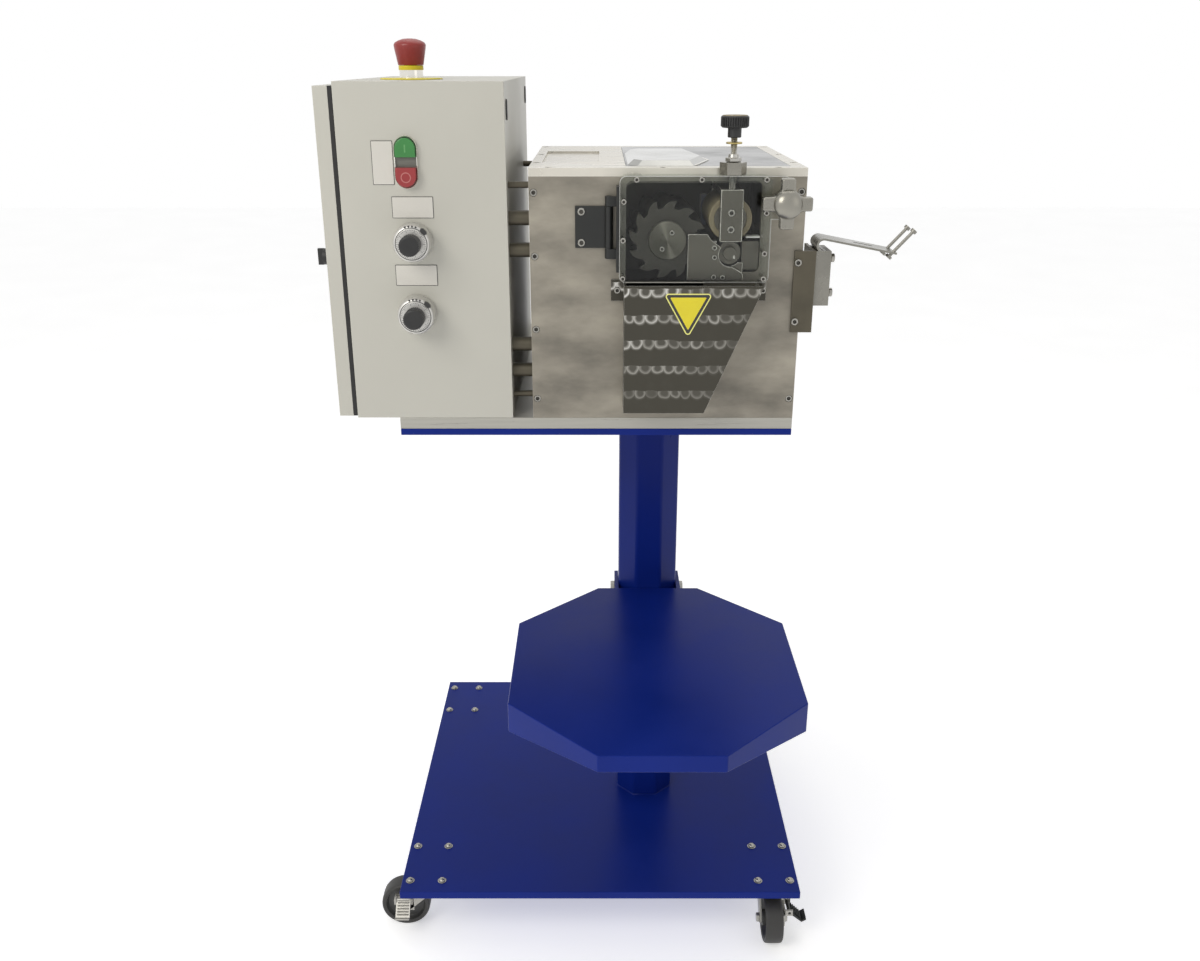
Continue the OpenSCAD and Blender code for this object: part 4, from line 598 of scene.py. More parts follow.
EIGHTH = math.pi / 8
bm = bmesh.new()
add_prism(bm, circle(COL_X, COL_Y, COL_W / 2 / math.cos(EIGHTH), 8, EIGHTH), "z", BASE_TOP, TABLE_Z)
finish_mesh("column_look", bm, blue, BODY, 3.5, 4, ["column"])
WELD = ((4, 0.2), (2.6, 1.6), (0.6, 4.5), (-2, 5))
bm = bmesh.new()
add_lathe(bm, [(COL_W / 2 + r, BASE_TOP + t) for r, t in WELD], "z", (COL_X, COL_Y), 8, turn=EIGHTH)
finish_mesh("column_weld", bm, blue, BODY, 0.6, 2)

TRAY_SHEET, SKIRT, SKIRT_MORE = 3, 24, 20


def tray_loop(inset):
    """The shelf's octagon in plan, deeper than wide."""
    w, near, far = TRAY_W / 2 - inset, TRAY_F + inset, TRAY_B - inset
    c = TRAY_C - inset * (2 - math.sqrt(2))
    loop = [(-w + c, near), (w - c, near), (w, near + c), (w, far - c)]
    loop += [(w - c, far), (-w + c, far), (-w, far - c), (-w, near + c)]
    return [(TRAY_X + x, y) for x, y in loop]


def skirt_low(y):
    """Height of the skirt's lower edge at a depth: it drops from the front edge to the corners behind it."""
    t = min(1.0, max(0.0, (y - TRAY_F) / TRAY_C))
    return TRAY_Z - SKIRT - SKIRT_MORE * t


bm = bmesh.new()
out, inn = tray_loop(0), tray_loop(TRAY_SHEET)
top = [bm.verts.new(V(x, y, TRAY_Z)) for x, y in out]
low, low_in = [[bm.verts.new(V(x, y, skirt_low(y))) for x, y in loop] for loop in (out, inn)]
top_in = [bm.verts.new(V(x, y, TRAY_Z - TRAY_SHEET)) for x, y in inn]
bm.faces.new(top)
bm.faces.new(top_in)
bridge(bm, [top, low, low_in, top_in])
finish_mesh("shelf", bm, blue, BODY, 3.2, 4, ["tray"], angle=20)

box_piece("table_look", (TABLE_L, FRONT, TABLE_Z), (TABLE_R, TABLE_B, MOUNT_Z), blue, BODY, 1.0, 3,
          ["table_plate"])
box_piece("mounting_look", (TABLE_L, FRONT, MOUNT_Z), (TABLE_R, TABLE_B, DECK), bare, BODY, 0.8, 2,
          ["mounting_plate"])

# bolts: of the casters (domed nut above, head and tip below), of the shelf's bracket, under the table,
# sunk in the machine box, on the chute's tabs, on the strand guide
DOME = ((0, 0), (6.5, 0), (6.5, 0.9), (5.2, 1.1), (5.2, 2.2), (4.4, 3.8), (2.6, 4.9), (0, 5.4))
BOLT_DX, BOLT_DY = 24.5, 40
SIDES = (-1, 1)
bm = bmesh.new()
for cx, cy in [(s * CASTER_X, t * CASTER_Y) for s in SIDES for t in SIDES]:
    for c in [(cx + s * BOLT_DX, cy + t * BOLT_DY) for s in SIDES for t in SIDES]:
        add_lathe(bm, [(r, BASE_TOP + t) for r, t in DOME], "z", c, 24)
        rod(bm, "z", c, 6.5, 86.3, 92.3, 6, 0.4)
        rod(bm, "z", c, 4, 84.5, 86.4, 16, 0.5)
for s in SIDES:
    seat, head = COL_X + s * 52.3, 6.5
    rod(bm, "x", (COL_Y, TRAY_Z - 20), 9, *sorted((seat, seat + s * head)), 6, 0.5)
TABLE_IN = 40
for x in (TABLE_L + TABLE_IN, TABLE_R - TABLE_IN):
    for y in (FRONT + TABLE_IN, (FRONT + TABLE_B) / 2, TABLE_B - TABLE_IN):
        rod(bm, "z", (x, y), 7, TABLE_Z - 5, TABLE_Z, 6, 0.5)
EDGE_IN, SUNK, HEAD_R, HEAD_H = 6, 3.4, 4.6, 3.0
SCREW_X = (BOX_L + EDGE_IN, BOX_R - EDGE_IN)
for x, shares in zip(SCREW_X, ((0.082, 0.371, 0.663, 0.907), (0.082, 0.91))):
    for s in shares:
        cap_screw(bm, "y", (x, DECK + s * (BOX_TOP - DECK)), FRONT + SUNK, -1, HEAD_R, HEAD_H)
TOP_SCREWS = [(x, FRONT + s * (BOX_B - FRONT)) for x in SCREW_X for s in (0.2, 0.56, 0.95)]
TOP_SCREWS += [(BOX_L + s * (BOX_R - BOX_L), FRONT + EDGE_IN) for s in (0.073, 0.483, 0.897)]
for c in TOP_SCREWS:
    cap_screw(bm, "z", c, BOX_TOP - SUNK, 1, HEAD_R, HEAD_H)
for x in (21.25, 200.9):
    cap_screw(bm, "y", (x, 1025.5), FRONT - 3, -1, 3.9, HEAD_H)
for z in (986.6, 1059.6):
    cap_screw(bm, "y", (242, z), FRONT - 4, -1, 4.4, HEAD_H)
for z in (1017.6, 1060.6):
    rod(bm, "x", (-268, z), 5.5, 283.6, 292.0, 24, 0.6)
finish_mesh("bolts", bm, [bolt, socket], BODY, 0, rep=["fasteners"])

# casters
# drawn about their swivel with the wheel towards +X, then turned and put in place
CASTERS = {"fl": (-1, -1, 180), "fr": (1, -1, -90), "rl": (-1, 1, -90), "rr": (1, 1, -90)}
BRAKED = ("fl", "fr")
FORK_TOP, FORK_IN, FORK_OUT, NUT_OUT, TREAD_IN = 85.7, 16, 19, 24, 0.0315
AXLE, PEDAL_HALF = (TRAIL, WHEEL_R), 14.3
WHEEL = [(4.3, 15.6), (11.5, 15.6), (12, 15), (12, 5.5), (13, 5), (28, 5), (29, 6), (31, 12.4), (33, 13.2),
         (35.4, 13.8), (37, 12.6), (37.7, 10.5), (38, 7)]


def turn_caster(bm, c):
    sx, sy, a = CASTERS[c]
    m = Matrix.Translation(V(sx * CASTER_X, sy * CASTER_Y, 0)) @ Matrix.Rotation(math.radians(a), 4, "Z")
    bmesh.ops.transform(bm, matrix=m @ Matrix.Translation(-V(0, 0, 0)), verts=bm.verts)


for c in CASTERS:
    bm = bmesh.new()
    leg = [(-18, FORK_TOP), (-18, 79)] + polar(*AXLE, 9, range(-150, 40, 15)) + [(18, 79), (18, FORK_TOP)]
    add_prism(bm, leg, "y", -FORK_OUT, -FORK_IN)
    add_prism(bm, leg, "y", FORK_IN, FORK_OUT)
    rod(bm, "z", (0, 0), 27, 82.2, FORK_TOP, 48, 0.8)
    rod(bm, "z", (0, 0), 23, 80.6, 82.4, 48, 0.8)
    rod(bm, "y", AXLE, 4, -FORK_OUT, FORK_OUT, 20)
    rod(bm, "y", AXLE, 7, FORK_OUT + 0.05, NUT_OUT, 6, 0.5)
    rod(bm, "y", AXLE, 7, -NUT_OUT, -FORK_OUT - 0.05, 6, 0.5)
    if c in BRAKED:
        add_box(bm, (TRAIL - PEDAL_HALF, FORK_IN, 33), (TRAIL + PEDAL_HALF, FORK_OUT, 63))
        for x in (TRAIL - PEDAL_HALF, TRAIL + PEDAL_HALF - 3):
            add_box(bm, (x, FORK_IN, 53), (x + 3, 30, 63))
    turn_caster(bm, c)
    finish_mesh("fork_look_" + c, bm, zinc, "fork_" + c, 0.6, 2, ["caster_fork_" + c])
    bm = bmesh.new()
    add_lathe(bm, [(r, -y) for r, y in WHEEL] + [(r, y) for r, y in reversed(WHEEL)], "y", AXLE, 56)
    axle = V(TRAIL, 0, WHEEL_R)
    for f in bm.faces:
        r = max(math.hypot(v.co.x - axle.x, v.co.z - axle.z) for v in f.verts)
        f.material_index = 0 if r > TREAD_IN else 1
    turn_caster(bm, c)
    finish_mesh("wheel_look_" + c, bm, [wheel_m, wheel_hub], "wheel_" + c, 0,
                rep=["caster_wheel_" + c])
    if c in BRAKED:
        bm = bmesh.new()
        rod(bm, "x", (25, 58), 3, TRAIL - PEDAL_HALF, TRAIL + PEDAL_HALF, 20, 0.4)
        add_prism(bm, [(25, 61), (45, 41), (50.5, 44.6), (52, 45), (52, 42), (45, 38), (25, 55)], "x",
                  TRAIL - 11, TRAIL + 11)
        for i in range(5):
            y, z = 29.5 + 3.1 * i, 56.2 - 3.1 * i
            add_box(bm, (TRAIL - 9, y, z), (TRAIL + 9, y + 1.4, z + 2.4))
        turn_caster(bm, c)
        pedal = zinc if c == "fl" else black_steel
        finish_mesh("pedal_" + c, bm, pedal, "brake_" + c, 0.5, 2, ["caster_brake_" + c])

# machine box
dressed("front_panel", panel, 0.5)
dressed("side_panels", panel, 0.5)
dressed("rear_panel", panel, 0.4)
dressed("top_cover", [panel_top, edge_m], 0.6, edge=1)
dressed("bearing_wall", chamber, 0.4)
dressed("carrier_boss", cast_al, 0.7)
dressed("bed_knife", bright, 0.3)
dressed("guard_hinge", black_steel, 0.6)
dressed("link_rods", dark_steel, 0.4)
dressed("guide_bracket", dark_steel, 0.6)
dressed("tray_bracket", blue, 0.8)
dressed("caster_plates", zinc, 0.6)
dressed("rotor_motor", motor_m, 1.5, 3)
dressed("feed_gearmotor", motor_m, 1.5, 3)
dressed("motor_drives", drive_pl, 1.0)
dressed("cable_gland", black_pl, 0.5)
dressed("door_gasket", rubber, 0.8)
dressed("door_latch", black_pl, 0.6)
dressed("rotor_pulley", trim, 0.4)
dressed("motor_pulley", trim, 0.4)
dressed("rotor_shaft", bright, 0.5)

box_piece("window_glass", (31.3, -270.7, 1166.3), (230.7, 46.7, BOX_TOP), dark_win, BODY, 0.3, 2,
          ["top_window"])
HUMP = [(46, -268), (114, -268), (136, -190), (118, -60), (46, -60), (34, -78), (34, -250)]
HUMP_H, cx, cy = 6, 82, -164
bm = bmesh.new()
low = [bm.verts.new(V(x, y, BOX_TOP)) for x, y in HUMP]
hi = [bm.verts.new(V(cx + (x - cx) * 0.84, cy + (y - cy) * 0.92, BOX_TOP + HUMP_H)) for x, y in HUMP]
bm.faces.new(hi)
bridge(bm, [low, hi])
finish_mesh("window_hump", bm, [hump_m, edge_m], BODY, 0.7, 2, angle=12)
CHEVRON, CHEVRON_HALF = [(118, -62), (137.5, -190), (116, -266)], 1.3
bm = bmesh.new()
for a, b in zip(CHEVRON, CHEVRON[1:]):
    d = Vector((b[0] - a[0], b[1] - a[1])).normalized()
    nx, ny = -d.y * CHEVRON_HALF, d.x * CHEVRON_HALF
    strip = [(a[0] + nx, a[1] + ny), (b[0] + nx, b[1] + ny), (b[0] - nx, b[1] - ny), (a[0] - nx, a[1] - ny)]
    add_prism(bm, strip, "z", BOX_TOP + 0.05, BOX_TOP + 1.2)
finish_mesh("window_chevron", bm, edge_m, BODY, 0.2, 1)

# cutting chamber
# one hooked tooth: share of the rotor's radius, share of the tooth's turn
TOOTH = [(1.0, 0.0), (0.985, 0.2), (0.955, 0.36), (0.905, 0.52), (0.85, 0.65), (0.81, 0.74), (0.80, 0.84),
         (0.80, 0.94), (0.806, 1.03), (0.82, 1.065), (0.9, 1.035)]
TEETH, TWIST, SLICES = 12, 14, 8
prof = [(ROT_R * r, math.radians((i + s) * 360 / TEETH)) for i in range(TEETH) for r, s in TOOTH]
bm = bmesh.new()
rings = []
for k in range(SLICES + 1):
    y = ROLL_B + (ROLL_F - ROLL_B) * k / SLICES
    t = math.radians(-TWIST * k / SLICES)
    ring = [(ROT_X + r * math.cos(a + t), ROT_Z + r * math.sin(a + t)) for r, a in prof]
    rings.append([bm.verts.new(V(x, y, z)) for x, z in ring])
bridge(bm, rings)
bm.faces.new(rings[0])
bm.faces.new(rings[-1])
finish_mesh("rotor_look", bm, [rotor_m, edge_m], "rotor_assembly", 0.35, 2, ["rotor"],
            angle=38)
bm = bmesh.new()
rod(bm, "y", (ROT_X, ROT_Z), 23, CAP_F, CHAMBER_F, 64, 0.9)
for c in ((ROT_X + 5.4, ROT_Z + 9.6), (ROT_X - 6.2, ROT_Z - 9.6)):
    cap_screw(bm, "y", c, CAP_F, -1, 3.2, 1.6, 1)
finish_mesh("cap_look", bm, [cap_m, bolt, socket], "rotor_assembly", 0, rep=["rotor_cap"],
            angle=30)

COVER_F, UPPER = -298.6, (ROLL_X, UP_Z)
bm = bmesh.new()
add_lathe(bm, [(0, COVER_F), (19.4, COVER_F)], "y", UPPER, 64, 1)
add_lathe(bm, [(19.4, COVER_F), (20.2, ROLL_F), (25.2, ROLL_F), (26, ROLL_F + 0.8), (26, ROLL_B - 0.8),
               (25.2, ROLL_B), (0, ROLL_B)], "y", UPPER, 64, 0)
rod(bm, "y", UPPER, 8, -308, COVER_F, 32, 0.4, 1)
rod(bm, "y", UPPER, 8, ROLL_B, -193.6, 32, 0.4, 1)
finish_mesh("upper_roll_look", bm, [tan, knife_m], "upper_roll", 0, rep=["upper_feed_roll"],
            angle=30)

LOWER = (ROLL_X, LOW_Z)
KNURL = ((0.0, 14.0), (0.35, 13.9), (0.5, 13.45), (0.8, 13.45))
bm = bmesh.new()
add_prism(bm, toothed(*LOWER, 48, KNURL), "y", ROLL_F, ROLL_B)
rod(bm, "y", LOWER, 8, KNIFE_F, ROLL_F + 0.1, 32, 0.6)
rod(bm, "y", LOWER, 8, ROLL_B - 0.1, -143, 32, 0.4)
add_box(bm, (ROLL_X + 4.2, KNIFE_F - 0.6, LOW_Z - 6.4), (ROLL_X + 6.6, KNIFE_F + 0.1, LOW_Z - 2.2), 1)
finish_mesh("lower_roll_look", bm, [knife_m, bright], "lower_roll", 0,
            rep=["lower_feed_roll"], angle=30)

# the carrier from its front leg over the roll to its rear leg
CARRIER_HALF, BEAM_LOW, REAR_LOW, REAR_F, REAR_B = 13.5, 1139.9, 1098.9, -199.3, -193.3
CARRIER = [(CARRIER_F, CARRIER_LOW), (CHAMBER_F, CARRIER_LOW), (CHAMBER_F, BEAM_LOW), (REAR_F, BEAM_LOW)]
CARRIER += [(REAR_F, REAR_LOW), (REAR_B, REAR_LOW), (REAR_B, CARRIER_TOP), (CARRIER_F, CARRIER_TOP)]
bm = bmesh.new()
add_prism(bm, CARRIER, "x", ROLL_X - CARRIER_HALF, ROLL_X + CARRIER_HALF)
finish_mesh("carrier_look", bm, [knife_m, edge_m], "carrier", 0.9, 2, ["roll_carrier"], edge=1)
bm = bmesh.new()
for z in (1120.8, 1101.2):
    cap_screw(bm, "y", (ROLL_X - 0.4, z), CARRIER_F, -1, 4.3, 2.2)
finish_mesh("carrier_screws", bm, [bolt, socket], "carrier", 0)

# the knife's plate, which follows the lower roll in a widening curve, and the holder behind it
KNIFE = [(106, 1039.6), (106, 1095.1), (129.5, 1095.1), (131.6, 1092), (134.5, 1088.4), (138, 1085.4),
         (141.5, 1083), (144.2, 1081)]
for k in range(15):
    KNIFE += polar(*LOWER, 12.4 + 3.8 * k / 14, [148 + 132 * k / 14])
KNIFE += [(172.6, 1048.9), (174, 1046.4), (174, 1039.6)]
HOLDER = arc(ROT_X, ROT_Z, 48.2, -56.1, -34.8, 8) + arc(*LOWER, 16.2, -132.2, -47.8, 10)
bm = bmesh.new()
add_prism(bm, KNIFE, "y", KNIFE_F, CHAMBER_F)
add_prism(bm, HOLDER + [(174, 1060.1), (174, 1047.6)], "y", -299.7, WALL_F)
finish_mesh("knife_plate", bm, [knife_m, edge_m], BODY, 0.6, 2, ["knife_holder"], edge=1)
bm = bmesh.new()
for c in ((138.2, 1079.0), (138.6, 1067.6), (138.3, 1043.6), (149.3, 1043.2)):
    cap_screw(bm, "y", c, KNIFE_F, -1, 3.3, 1.8)
for z in (1083.5, 1120.5):
    cap_screw(bm, "y", (-22.5, z), FRONT - 3, -1, 4.6, 1.8)
finish_mesh("plate_screws", bm, [bolt, socket], BODY, 0)
box_piece("wall_strip", (128.6, -199, 1090), (137.6, -193.1, 1131), [grey_strip, edge_m], BODY, 0.8, 2,
          edge=1)
box_piece("side_filler", (172.6, -291.5, 1049.5), (194.4, -286, 1085), knife_m, BODY, 0.8, 2)
box_piece("strand_strip", (176.5, -299, 1089.6), (193.5, -285, 1091.6), white_strip, BODY, 0.3, 2)

# guard
# the clear face with its ear for the star knob
EAR_X, EAR_R, EAR_LOW = G_R + 13, 10, 1114.3
LOW_L, LOW_R = (G_L + G_ROUND, G_LOW + G_ROUND, G_ROUND), (G_R - G_ROUND, G_LOW + G_ROUND, G_ROUND)
TOP_L, TOP_R = (G_L + G_ROUND, G_TOP - G_ROUND, G_ROUND), (G_R - G_ROUND, G_TOP - G_ROUND, G_ROUND)
FACE = arc(*LOW_L, 180, 270) + arc(*LOW_R, 270, 360) + [(G_R, EAR_LOW)]
FACE += arc(EAR_X, G_TOP - 40, EAR_R, 270, 360) + arc(EAR_X, G_TOP - EAR_R, EAR_R, 0, 90)
FACE += arc(*TOP_L, 90, 180)
bm, hole = bmesh.new(), bmesh.new()
add_prism(bm, FACE, "y", G_F, G_F + G_T)
rod(hole, "y", (STAR_X, STAR_Z), 4.3, G_F - 5, G_F + 12, 32)
bored("guard_face", bm, hole, [clear, guard_edge], "guard", 0.45, 1, ["guard"], 1)
# its two side walls with their share of the top, open below, and the thin bridge over the adjusting screw
SLIT_L, SLIT_R, WALL_IN = 150.5, 163.5, G_ROUND * 2
left = arc(*LOW_L, 270, 180) + arc(*TOP_L, 180, 90) + [(SLIT_L, G_TOP), (SLIT_L, G_TOP - G_ROUND)]
left += arc(G_L + WALL_IN, G_TOP - WALL_IN, G_ROUND, 90, 180) + [(G_L + G_ROUND, G_LOW + 0.01)]
right = arc(*LOW_R, 270, 360) + arc(*TOP_R, 0, 90) + [(SLIT_R, G_TOP), (SLIT_R, G_TOP - G_ROUND)]
right += arc(G_R - WALL_IN, G_TOP - WALL_IN, G_ROUND, 90, 0) + [(G_R - G_ROUND, G_LOW + 0.01)]
over = [(SLIT_L, G_TOP), (SLIT_L, G_TOP - G_ROUND), (SLIT_R, G_TOP - G_ROUND), (SLIT_R, G_TOP)]
bm = bmesh.new()
for outline, back in ((left, FRONT - 0.3), (right, FRONT - 0.3), (over, -312.4)):
    add_prism(bm, outline, "y", G_F + G_T + 0.01, back)
finish_mesh("guard_walls", bm, [clear, guard_edge], "guard", 0.45, 1, edge=1)
GUARD_SCREWS = [(43, 1160.3), (119.2, 1160.3), (195.1, 1160.3), (28, 1135), (27.4, 1090), (27.4, 1044.4)]
GUARD_SCREWS += [(196.6, z) for z in (1122, 1074.6, 1044.4)]
bm = bmesh.new()
for c in GUARD_SCREWS:
    cap_screw(bm, "y", c, G_F, -1, 3.3, 1.6)
    rod(bm, "y", c, 1.7, G_F, FRONT - 1, 12)
finish_mesh("guard_screws", bm, [bolt, socket], "guard", 0)
LEAF_X, LEAF_T, PIN_X, PIN_Y, KNUCKLE = G_L, 3.5, 10.8, -299, 12
bm = bmesh.new()
add_box(bm, (LEAF_X - LEAF_T, G_F + 3, 1051.3), (LEAF_X, -297, 1152.3))
for z in (1064.8, 1127.4):
    tube(bm, "z", (PIN_X, PIN_Y), 2.6, 5, z, z + KNUCKLE, 32, 0.6)
    add_box(bm, (PIN_X, PIN_Y - 5, z), (LEAF_X - 1.7, PIN_Y - 2, z + KNUCKLE))
finish_mesh("hinge_leaf", bm, black_steel, "guard", 0.5, 2)
# a white strip along part of the guard's lower front edge, painted as the highlight on that edge
box_piece("guard_edge_highlight", (G_L + G_ROUND, G_F + 0.1, G_LOW + 0.1), (126, G_F + 3, G_LOW + 1.1), label, "guard",
          0.3, 2)

# the star knob: four arms with hollow flanks, its ball, its collar and its stud
ARM = [(29, -8), (29, 8)] + arc(19.5, 19.5, 11.5, -92, -178, 10)
STAR_F, STAR_B, BALL_R, COLLAR_F = -351.3, -336.3, 16.8, -323.3
bm = bmesh.new()
star = []
for q in range(4):
    c, s = math.cos(math.pi / 2 * q), math.sin(math.pi / 2 * q)
    star += [(STAR_X + x * c - z * s, STAR_Z + x * s + z * c) for x, z in ARM]
add_prism(bm, star, "y", STAR_F, STAR_B)
finish_mesh("star_arms", bm, cast_al, "guard_knob", 2.6, 4, ["star_knob"], angle=28)
ball = [(BALL_R * x, -351 - 10.5 * y) for y, x in polar(0, 0, 1, range(10, 100, 10))]
bm = bmesh.new()
add_lathe(bm, [(0, -361.5)] + ball + [(BALL_R, -345), (0, -345)], "y", (STAR_X, STAR_Z), 48)
add_lathe(bm, [(0, COLLAR_F), (9, COLLAR_F), (9, -333), (11, -336.6), (0, -336.6)], "y", (STAR_X, STAR_Z), 40)
rod(bm, "y", (STAR_X, STAR_Z), 4, COLLAR_F, -285, 24, 0.5)
finish_mesh("star_ball", bm, cast_al, "guard_knob", 0, angle=40)

# adjusting screw
SCREW = (ROLL_X, SCREW_Y)
bm = bmesh.new()
add_prism(bm, toothed(*SCREW, 36, ((0.0, 16.5), (0.45, 16.5), (0.6, 15.2), (0.9, 15.2))), "z", 1219.2, 1229.6)
add_lathe(bm, [(0, 1217.6), (14.6, 1217.6), (16, 1219), (16, 1219.6), (0, 1219.6)], "z", SCREW, 48)
add_lathe(bm, [(0, 1229.2), (16.2, 1229.2), (16.2, 1230.2), (15, 1231), (0, 1231)], "z", SCREW, 48)
add_lathe(bm, [(0, 1206.6), (7.4, 1206.6), (8, 1207.4), (8, 1217.8), (0, 1217.8)], "z", SCREW, 40)
finish_mesh("knob_look", bm, black_pl, "adjuster", 0.25, 1, ["adjusting_knob"], angle=28)
THREAD_R, THREAD_ROOT, THREAD_LOW, THREAD_TOP, THREAD_P = 4.0, 3.55, 1134, 1206.6, 1.25
bm = bmesh.new()
rod(bm, "z", SCREW, 14.4, 1230.9, 1231.6, 48, 0.2, 2)
thread = [(0, THREAD_LOW)]
z = THREAD_LOW + 0.2
while z < THREAD_TOP - 0.2:
    thread += [(THREAD_ROOT, z), (THREAD_R, z + 0.62)]
    z += THREAD_P
add_lathe(bm, thread + [(0, THREAD_TOP)], "z", SCREW, 24)
NUT = [(4, 1179.4), (8.6, 1179.4), (9.5, 1180.2), (9.5, 1183.6), (8.6, 1184.4), (4, 1184.4)]
add_lathe(bm, NUT, "z", SCREW, 6)
add_lathe(bm, [(4, 1184.4), (6.6, 1184.4), (6, 1188), (5, 1188.6), (4, 1188.6)], "z", SCREW, 32)
rod(bm, "z", SCREW, 9.5, 1199.6, 1201.6, 40, 0.4, 1)
finish_mesh("screw_look", bm, [bright, brass, tan], "adjuster", 0, angle=35)

# chute and sign
dressed("chute", [swirl, edge_m], 0.7, edge=1)
box_piece("chute_lip", (29.5, CHUTE_F, 1037.4), (196.5, -336.6, 1038.4), edge_m, BODY, 0.4, 2)

SIGN = [Vector(p) for p in ((76.2, 1029.6), (135.8, 1029.6), (106.6, 975.8))]
SIGN_MID, SIGN_IN, SIGN_R = sum(SIGN, Vector((0, 0))) / 3, 17.5, 3.6


def sign_outline(inset):
    """The triangle with round corners, drawn in by an inset."""
    pts = []
    for corner in SIGN:
        p = SIGN_MID + (corner - SIGN_MID) * (1 - inset / SIGN_IN)
        d = (p - SIGN_MID).normalized()
        out, r = math.atan2(d.y, d.x), max(0.8, SIGN_R - inset)
        q = p - d * r * 2
        pts += polar(q.x, q.y, r, [math.degrees(out) + v for v in range(-60, 61, 20)])
    return sorted(pts, key=lambda p: math.atan2(p[1] - SIGN_MID.y, p[0] - SIGN_MID.x))


bm = bmesh.new()
for layer, (inset, front, back) in enumerate(((0, 0.35, 0), (1.4, 0.45, 0.3), (4.6, 0.55, 0.4))):
    add_prism(bm, sign_outline(inset), "y", CHUTE_F - front, CHUTE_F - back, layer)
finish_mesh("yellow_triangle", bm, [cream, ink, yellow], BODY, 0, smooth=False)

# strand guide
BLOCK_R, BLOCK_TOP = 283.4, 1072.7
dressed("infeed_guide", [block_m, strap], 0.25, paint=lambda x, z: 0 if x < BLOCK_R and z < BLOCK_TOP else 1)

# cabinet
dressed("cabinet_body", cab, 1.6, 3)
dressed("cabinet_door", cab, 1.6, 3)
LABELS = ((-270.9, 1151.7, -245.7, 1202), (-250.4, 1112.6, -200.9, 1137.6), (-251.1, 1030.9, -200.1, 1056))
bm = bmesh.new()
for x0, z0, x1, z1 in LABELS:
    for grow, r, front, back, mi in ((0.2, 0.8, 0.5, 0, 1), (-0.5, 0.5, 0.9, 0.4, 0)):
        plate = round_rect(x0 - grow, z0 - grow, x1 + grow, z1 + grow, r, 3)
        add_prism(bm, plate, "y", FRONT - front, FRONT - back, mi)
finish_mesh("labels", bm, [label, ink], BODY, 0, smooth=False)
bm = bmesh.new()
for y, z in ((-268, 1236), (84, 1243)):
    add_prism(bm, [(y + 6 * a, z + 12 * b) for a, b in circle(0, 0, 1, 28)], "x", CAB_R - 0.4, CAB_R + 1.8)
finish_mesh("side_plugs", bm, black_pl, BODY, 0.6, 2)


def stadium(r, squeeze=1.0, inset=0.0):
    """The bezel's outline, round above the start button and below the stop button."""
    rise = 0.5
    ends = ((START_Z + rise, range(0, 181, 12)), (STOP_Z - rise, range(180, 361, 12)))
    loop = [p for z, angles in ends for p in polar(BUTTON_X, z, r, angles)]
    mid = (START_Z + STOP_Z) / 2
    return [(BUTTON_X + (x - BUTTON_X) * squeeze, z + (inset if z < mid else -inset)) for x, z in loop]


# the bezel from its back edge over its front to its inner floor, the yellow disc and collar of the emergency
# stop, and the switch bodies inside the cabinet
outer, inner = stadium(13.8), stadium(12.7)
steps = ((outer, 0), (outer, 4), (stadium(13.8, 0.965, 0.4), 5), (inner, 4.6), (inner, 1.2))
bm = bmesh.new()
rings = [[bm.verts.new(V(x, FRONT - t, z)) for x, z in loop] for loop, t in steps]
bridge(bm, rings)
bm.faces.new(rings[-1]).material_index = 1
DISC_T, COLLAR_TOP = 1.6, 1285
rod(bm, "z", ESTOP, 39, CAB_TOP, CAB_TOP + DISC_T, 72, 0.4, 2)
add_lathe(bm, [(14.75, CAB_TOP + DISC_T), (14.75, 1279.5)], "z", ESTOP, 56, 0)
COLLAR = [(15.4, 1279.4), (15.5, 1279.8), (15.5, 1284.4), (14.6, COLLAR_TOP), (8.1, COLLAR_TOP)]
add_lathe(bm, COLLAR, "z", ESTOP, 56, 2)
rod(bm, "z", ESTOP, 12, 1228, CAB_TOP - 2, 32, 0.5, 1)
for z in (START_Z, STOP_Z):
    rod(bm, "y", (BUTTON_X, z), 13.5, FRONT + 2, FRONT + 40, 32, 0.5, 1)
finish_mesh("bezel_look", bm, [chrome, grey_in, yellow], BODY, 0, rep=["button_bodies"],
            angle=35)


def button(z0, up, r=12.1, flat=10.2):
    """A button's outline, round at the end that points up (+1) or down (-1)."""
    bow = [(BUTTON_X + x, z0 + up * z) for x, z in polar(0, 0, r, range(0, 181, 10))]
    return bow + [(BUTTON_X - r, z0 - up * flat), (BUTTON_X + r, z0 - up * flat)]


START_F, STOP_F, BUTTON_B, MARK_T = -301, -304, -290, 0.12
bm = bmesh.new()
add_prism(bm, button(START_Z, 1), "y", START_F, BUTTON_B)
finish_mesh("start_look", bm, green, "start", 1.2, 3, ["start_button"])
box_piece("start_mark", (BUTTON_X - 0.8, START_F - MARK_T, START_Z - 4.5),
          (BUTTON_X + 0.8, START_F + 0.1, START_Z + 4.5), green_mark, "start", 0, 2)
bm = bmesh.new()
add_prism(bm, button(STOP_Z, -1), "y", STOP_F, BUTTON_B)
finish_mesh("stop_look", bm, red_b, "stop", 1.2, 3, ["stop_button"])
bm = bmesh.new()
tube(bm, "y", (BUTTON_X, STOP_Z - 1), 4.9, 6.1, STOP_F - MARK_T, STOP_F + 0.1, 40, 0.05)
finish_mesh("stop_mark", bm, red_mark, "stop", 0)

MUSHROOM = [(0, 1248.3), (8, 1248.3), (8, 1287), (15.2, 1287), (15.2, 1285.4), (15.6, 1285.2), (16.0, 1286),
            (19.4, 1304), (20, 1308), (19.8, 1309.4), (18.4, 1311.6), (14, 1314), (8, 1315.8), (3, 1316.25),
            (0, 1316.3)]
bm = bmesh.new()
add_lathe(bm, MUSHROOM, "z", ESTOP, 64)
finish_mesh("estop_look", bm, red, "estop", 0, rep=["estop_button"], angle=35)

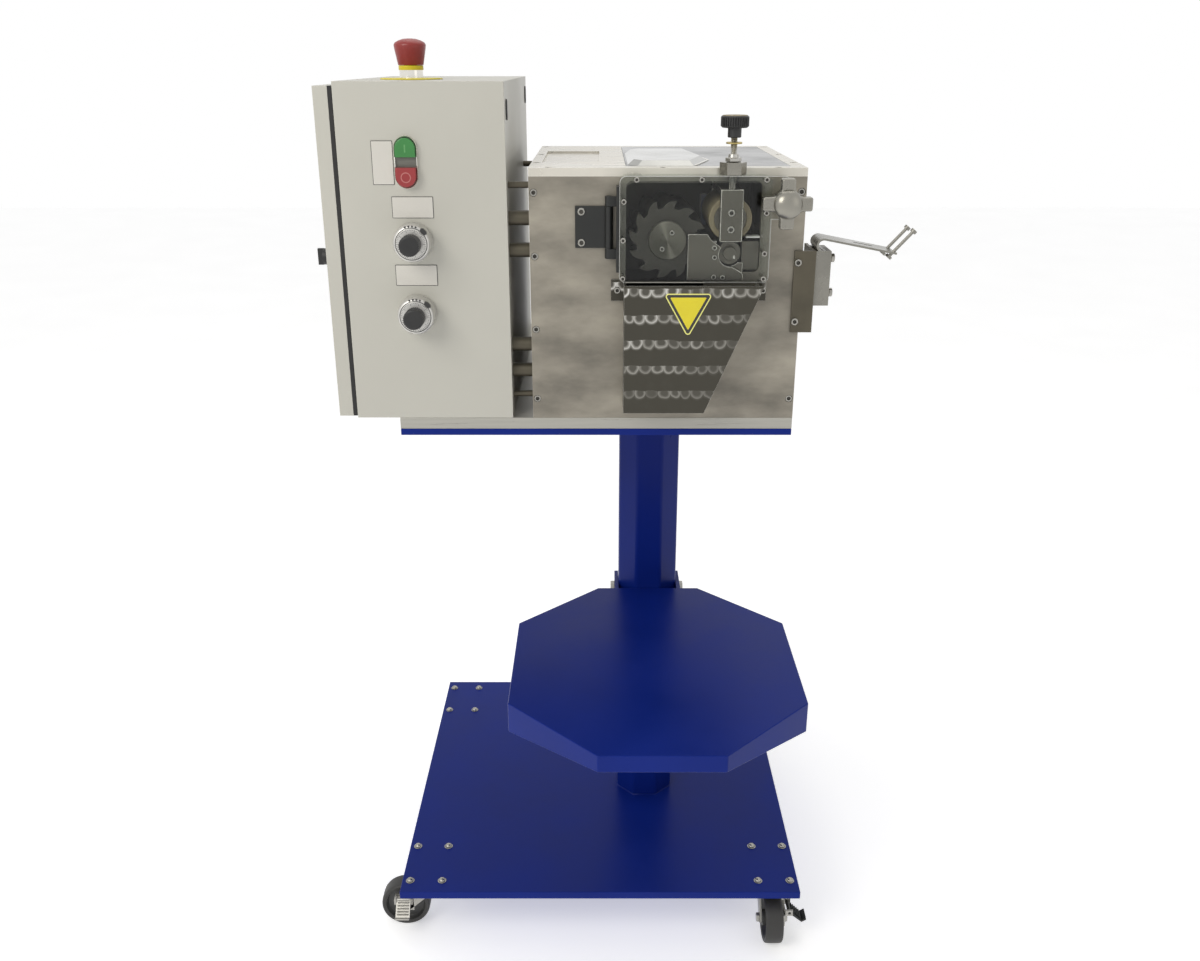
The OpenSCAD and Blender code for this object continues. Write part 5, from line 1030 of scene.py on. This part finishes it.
# the speed dials: a fixed cup with its marks and its brake lever, and the knob with its turning scale
CUP = ((0, 0), (22.4, 0), (23, 0.6), (23, 19), (22.6, 21.4), (21.4, 23.8), (19.6, 25), (0, 25))
LEVER, QUARTER = ((1, 0.2), (0.5, 1), (-0.5, 1), (-1, 0.2), (-0.6, -1), (0.6, -1)), 1.57
bm = bmesh.new()
for z in DIALS.values():
    add_lathe(bm, [(r, FRONT - t) for r, t in CUP], "y", (DIAL_X, z), 72)
    tube(bm, "y", (DIAL_X, z), 18.6, 19.5, -318.15, -317.9, 72, 0.05, 1)
    rod(bm, "y", (DIAL_X, z), 8, FRONT, FRONT + 30, 24, 0.4, 1)
    for t in (72, 84, 96, 108):
        a = math.radians(t)
        corners = ((20, -0.05), (21.8, -0.05), (21.8, 0.05), (20, 0.05))
        mark = [(DIAL_X + r * math.cos(a + d), z + r * math.sin(a + d)) for r, d in corners]
        add_prism(bm, mark, "y", DIAL_F, -316.2, 1)
    a = math.radians(44)
    lx, lz = DIAL_X + 21.5 * math.cos(a), z + 21.5 * math.sin(a)
    across = (5 * math.cos(a + QUARTER), 5 * math.sin(a + QUARTER))
    along = (2.4 * math.cos(a), 2.4 * math.sin(a))
    lever = [(lx + across[0] * s + along[0] * t, lz + across[1] * s + along[1] * t) for s, t in LEVER]
    add_prism(bm, lever, "y", -320.5, -316, 1)
finish_mesh("dial_look", bm, [silver, ink], BODY, 0, rep=["dial_bodies"], angle=35)
KNOB_F, KNOB_B, TICKS, TICK_END, TICK_HALF = -336.6, -319.7, 50, 17.8, 0.22
RIBS = ((0.0, 12.5), (0.4, 12.5), (0.55, 11.9), (0.9, 11.9))
for tag, z in DIALS.items():
    bm = bmesh.new()
    add_prism(bm, toothed(DIAL_X, z, 30, RIBS), "y", KNOB_F, KNOB_B)
    add_lathe(bm, [(0, -337.3), (10.4, -337.3), (11.6, -336.5), (0, -336.5)], "y", (DIAL_X, z), 48)
    rod(bm, "y", (DIAL_X, z), 3, -318.4, ROLL_F, 16, 0.3)
    finish_mesh("dial_knob_" + tag + "_look", bm, black_pl, "dial_" + tag, 0.3, 1,
                ["dial_knob_" + tag], angle=28)
    bm = bmesh.new()
    tube(bm, "y", (DIAL_X, z), 3, 18.2, KNOB_B, -318.35, 72, 0.4, 0)
    for k in range(TICKS):
        c, s = math.cos(2 * math.pi * k / TICKS), math.sin(2 * math.pi * k / TICKS)
        start = 14.2 if k % 5 == 0 else 16.2
        corners = ((start, -1), (TICK_END, -1), (TICK_END, 1), (start, 1))
        tick = [(DIAL_X + r * c - w * TICK_HALF * s, z + r * s + w * TICK_HALF * c) for r, w in corners]
        add_prism(bm, tick, "y", -319.78, -319.6, 1)
    finish_mesh("dial_scale_" + tag, bm, [silver, ink], "dial_" + tag, 0, angle=35)
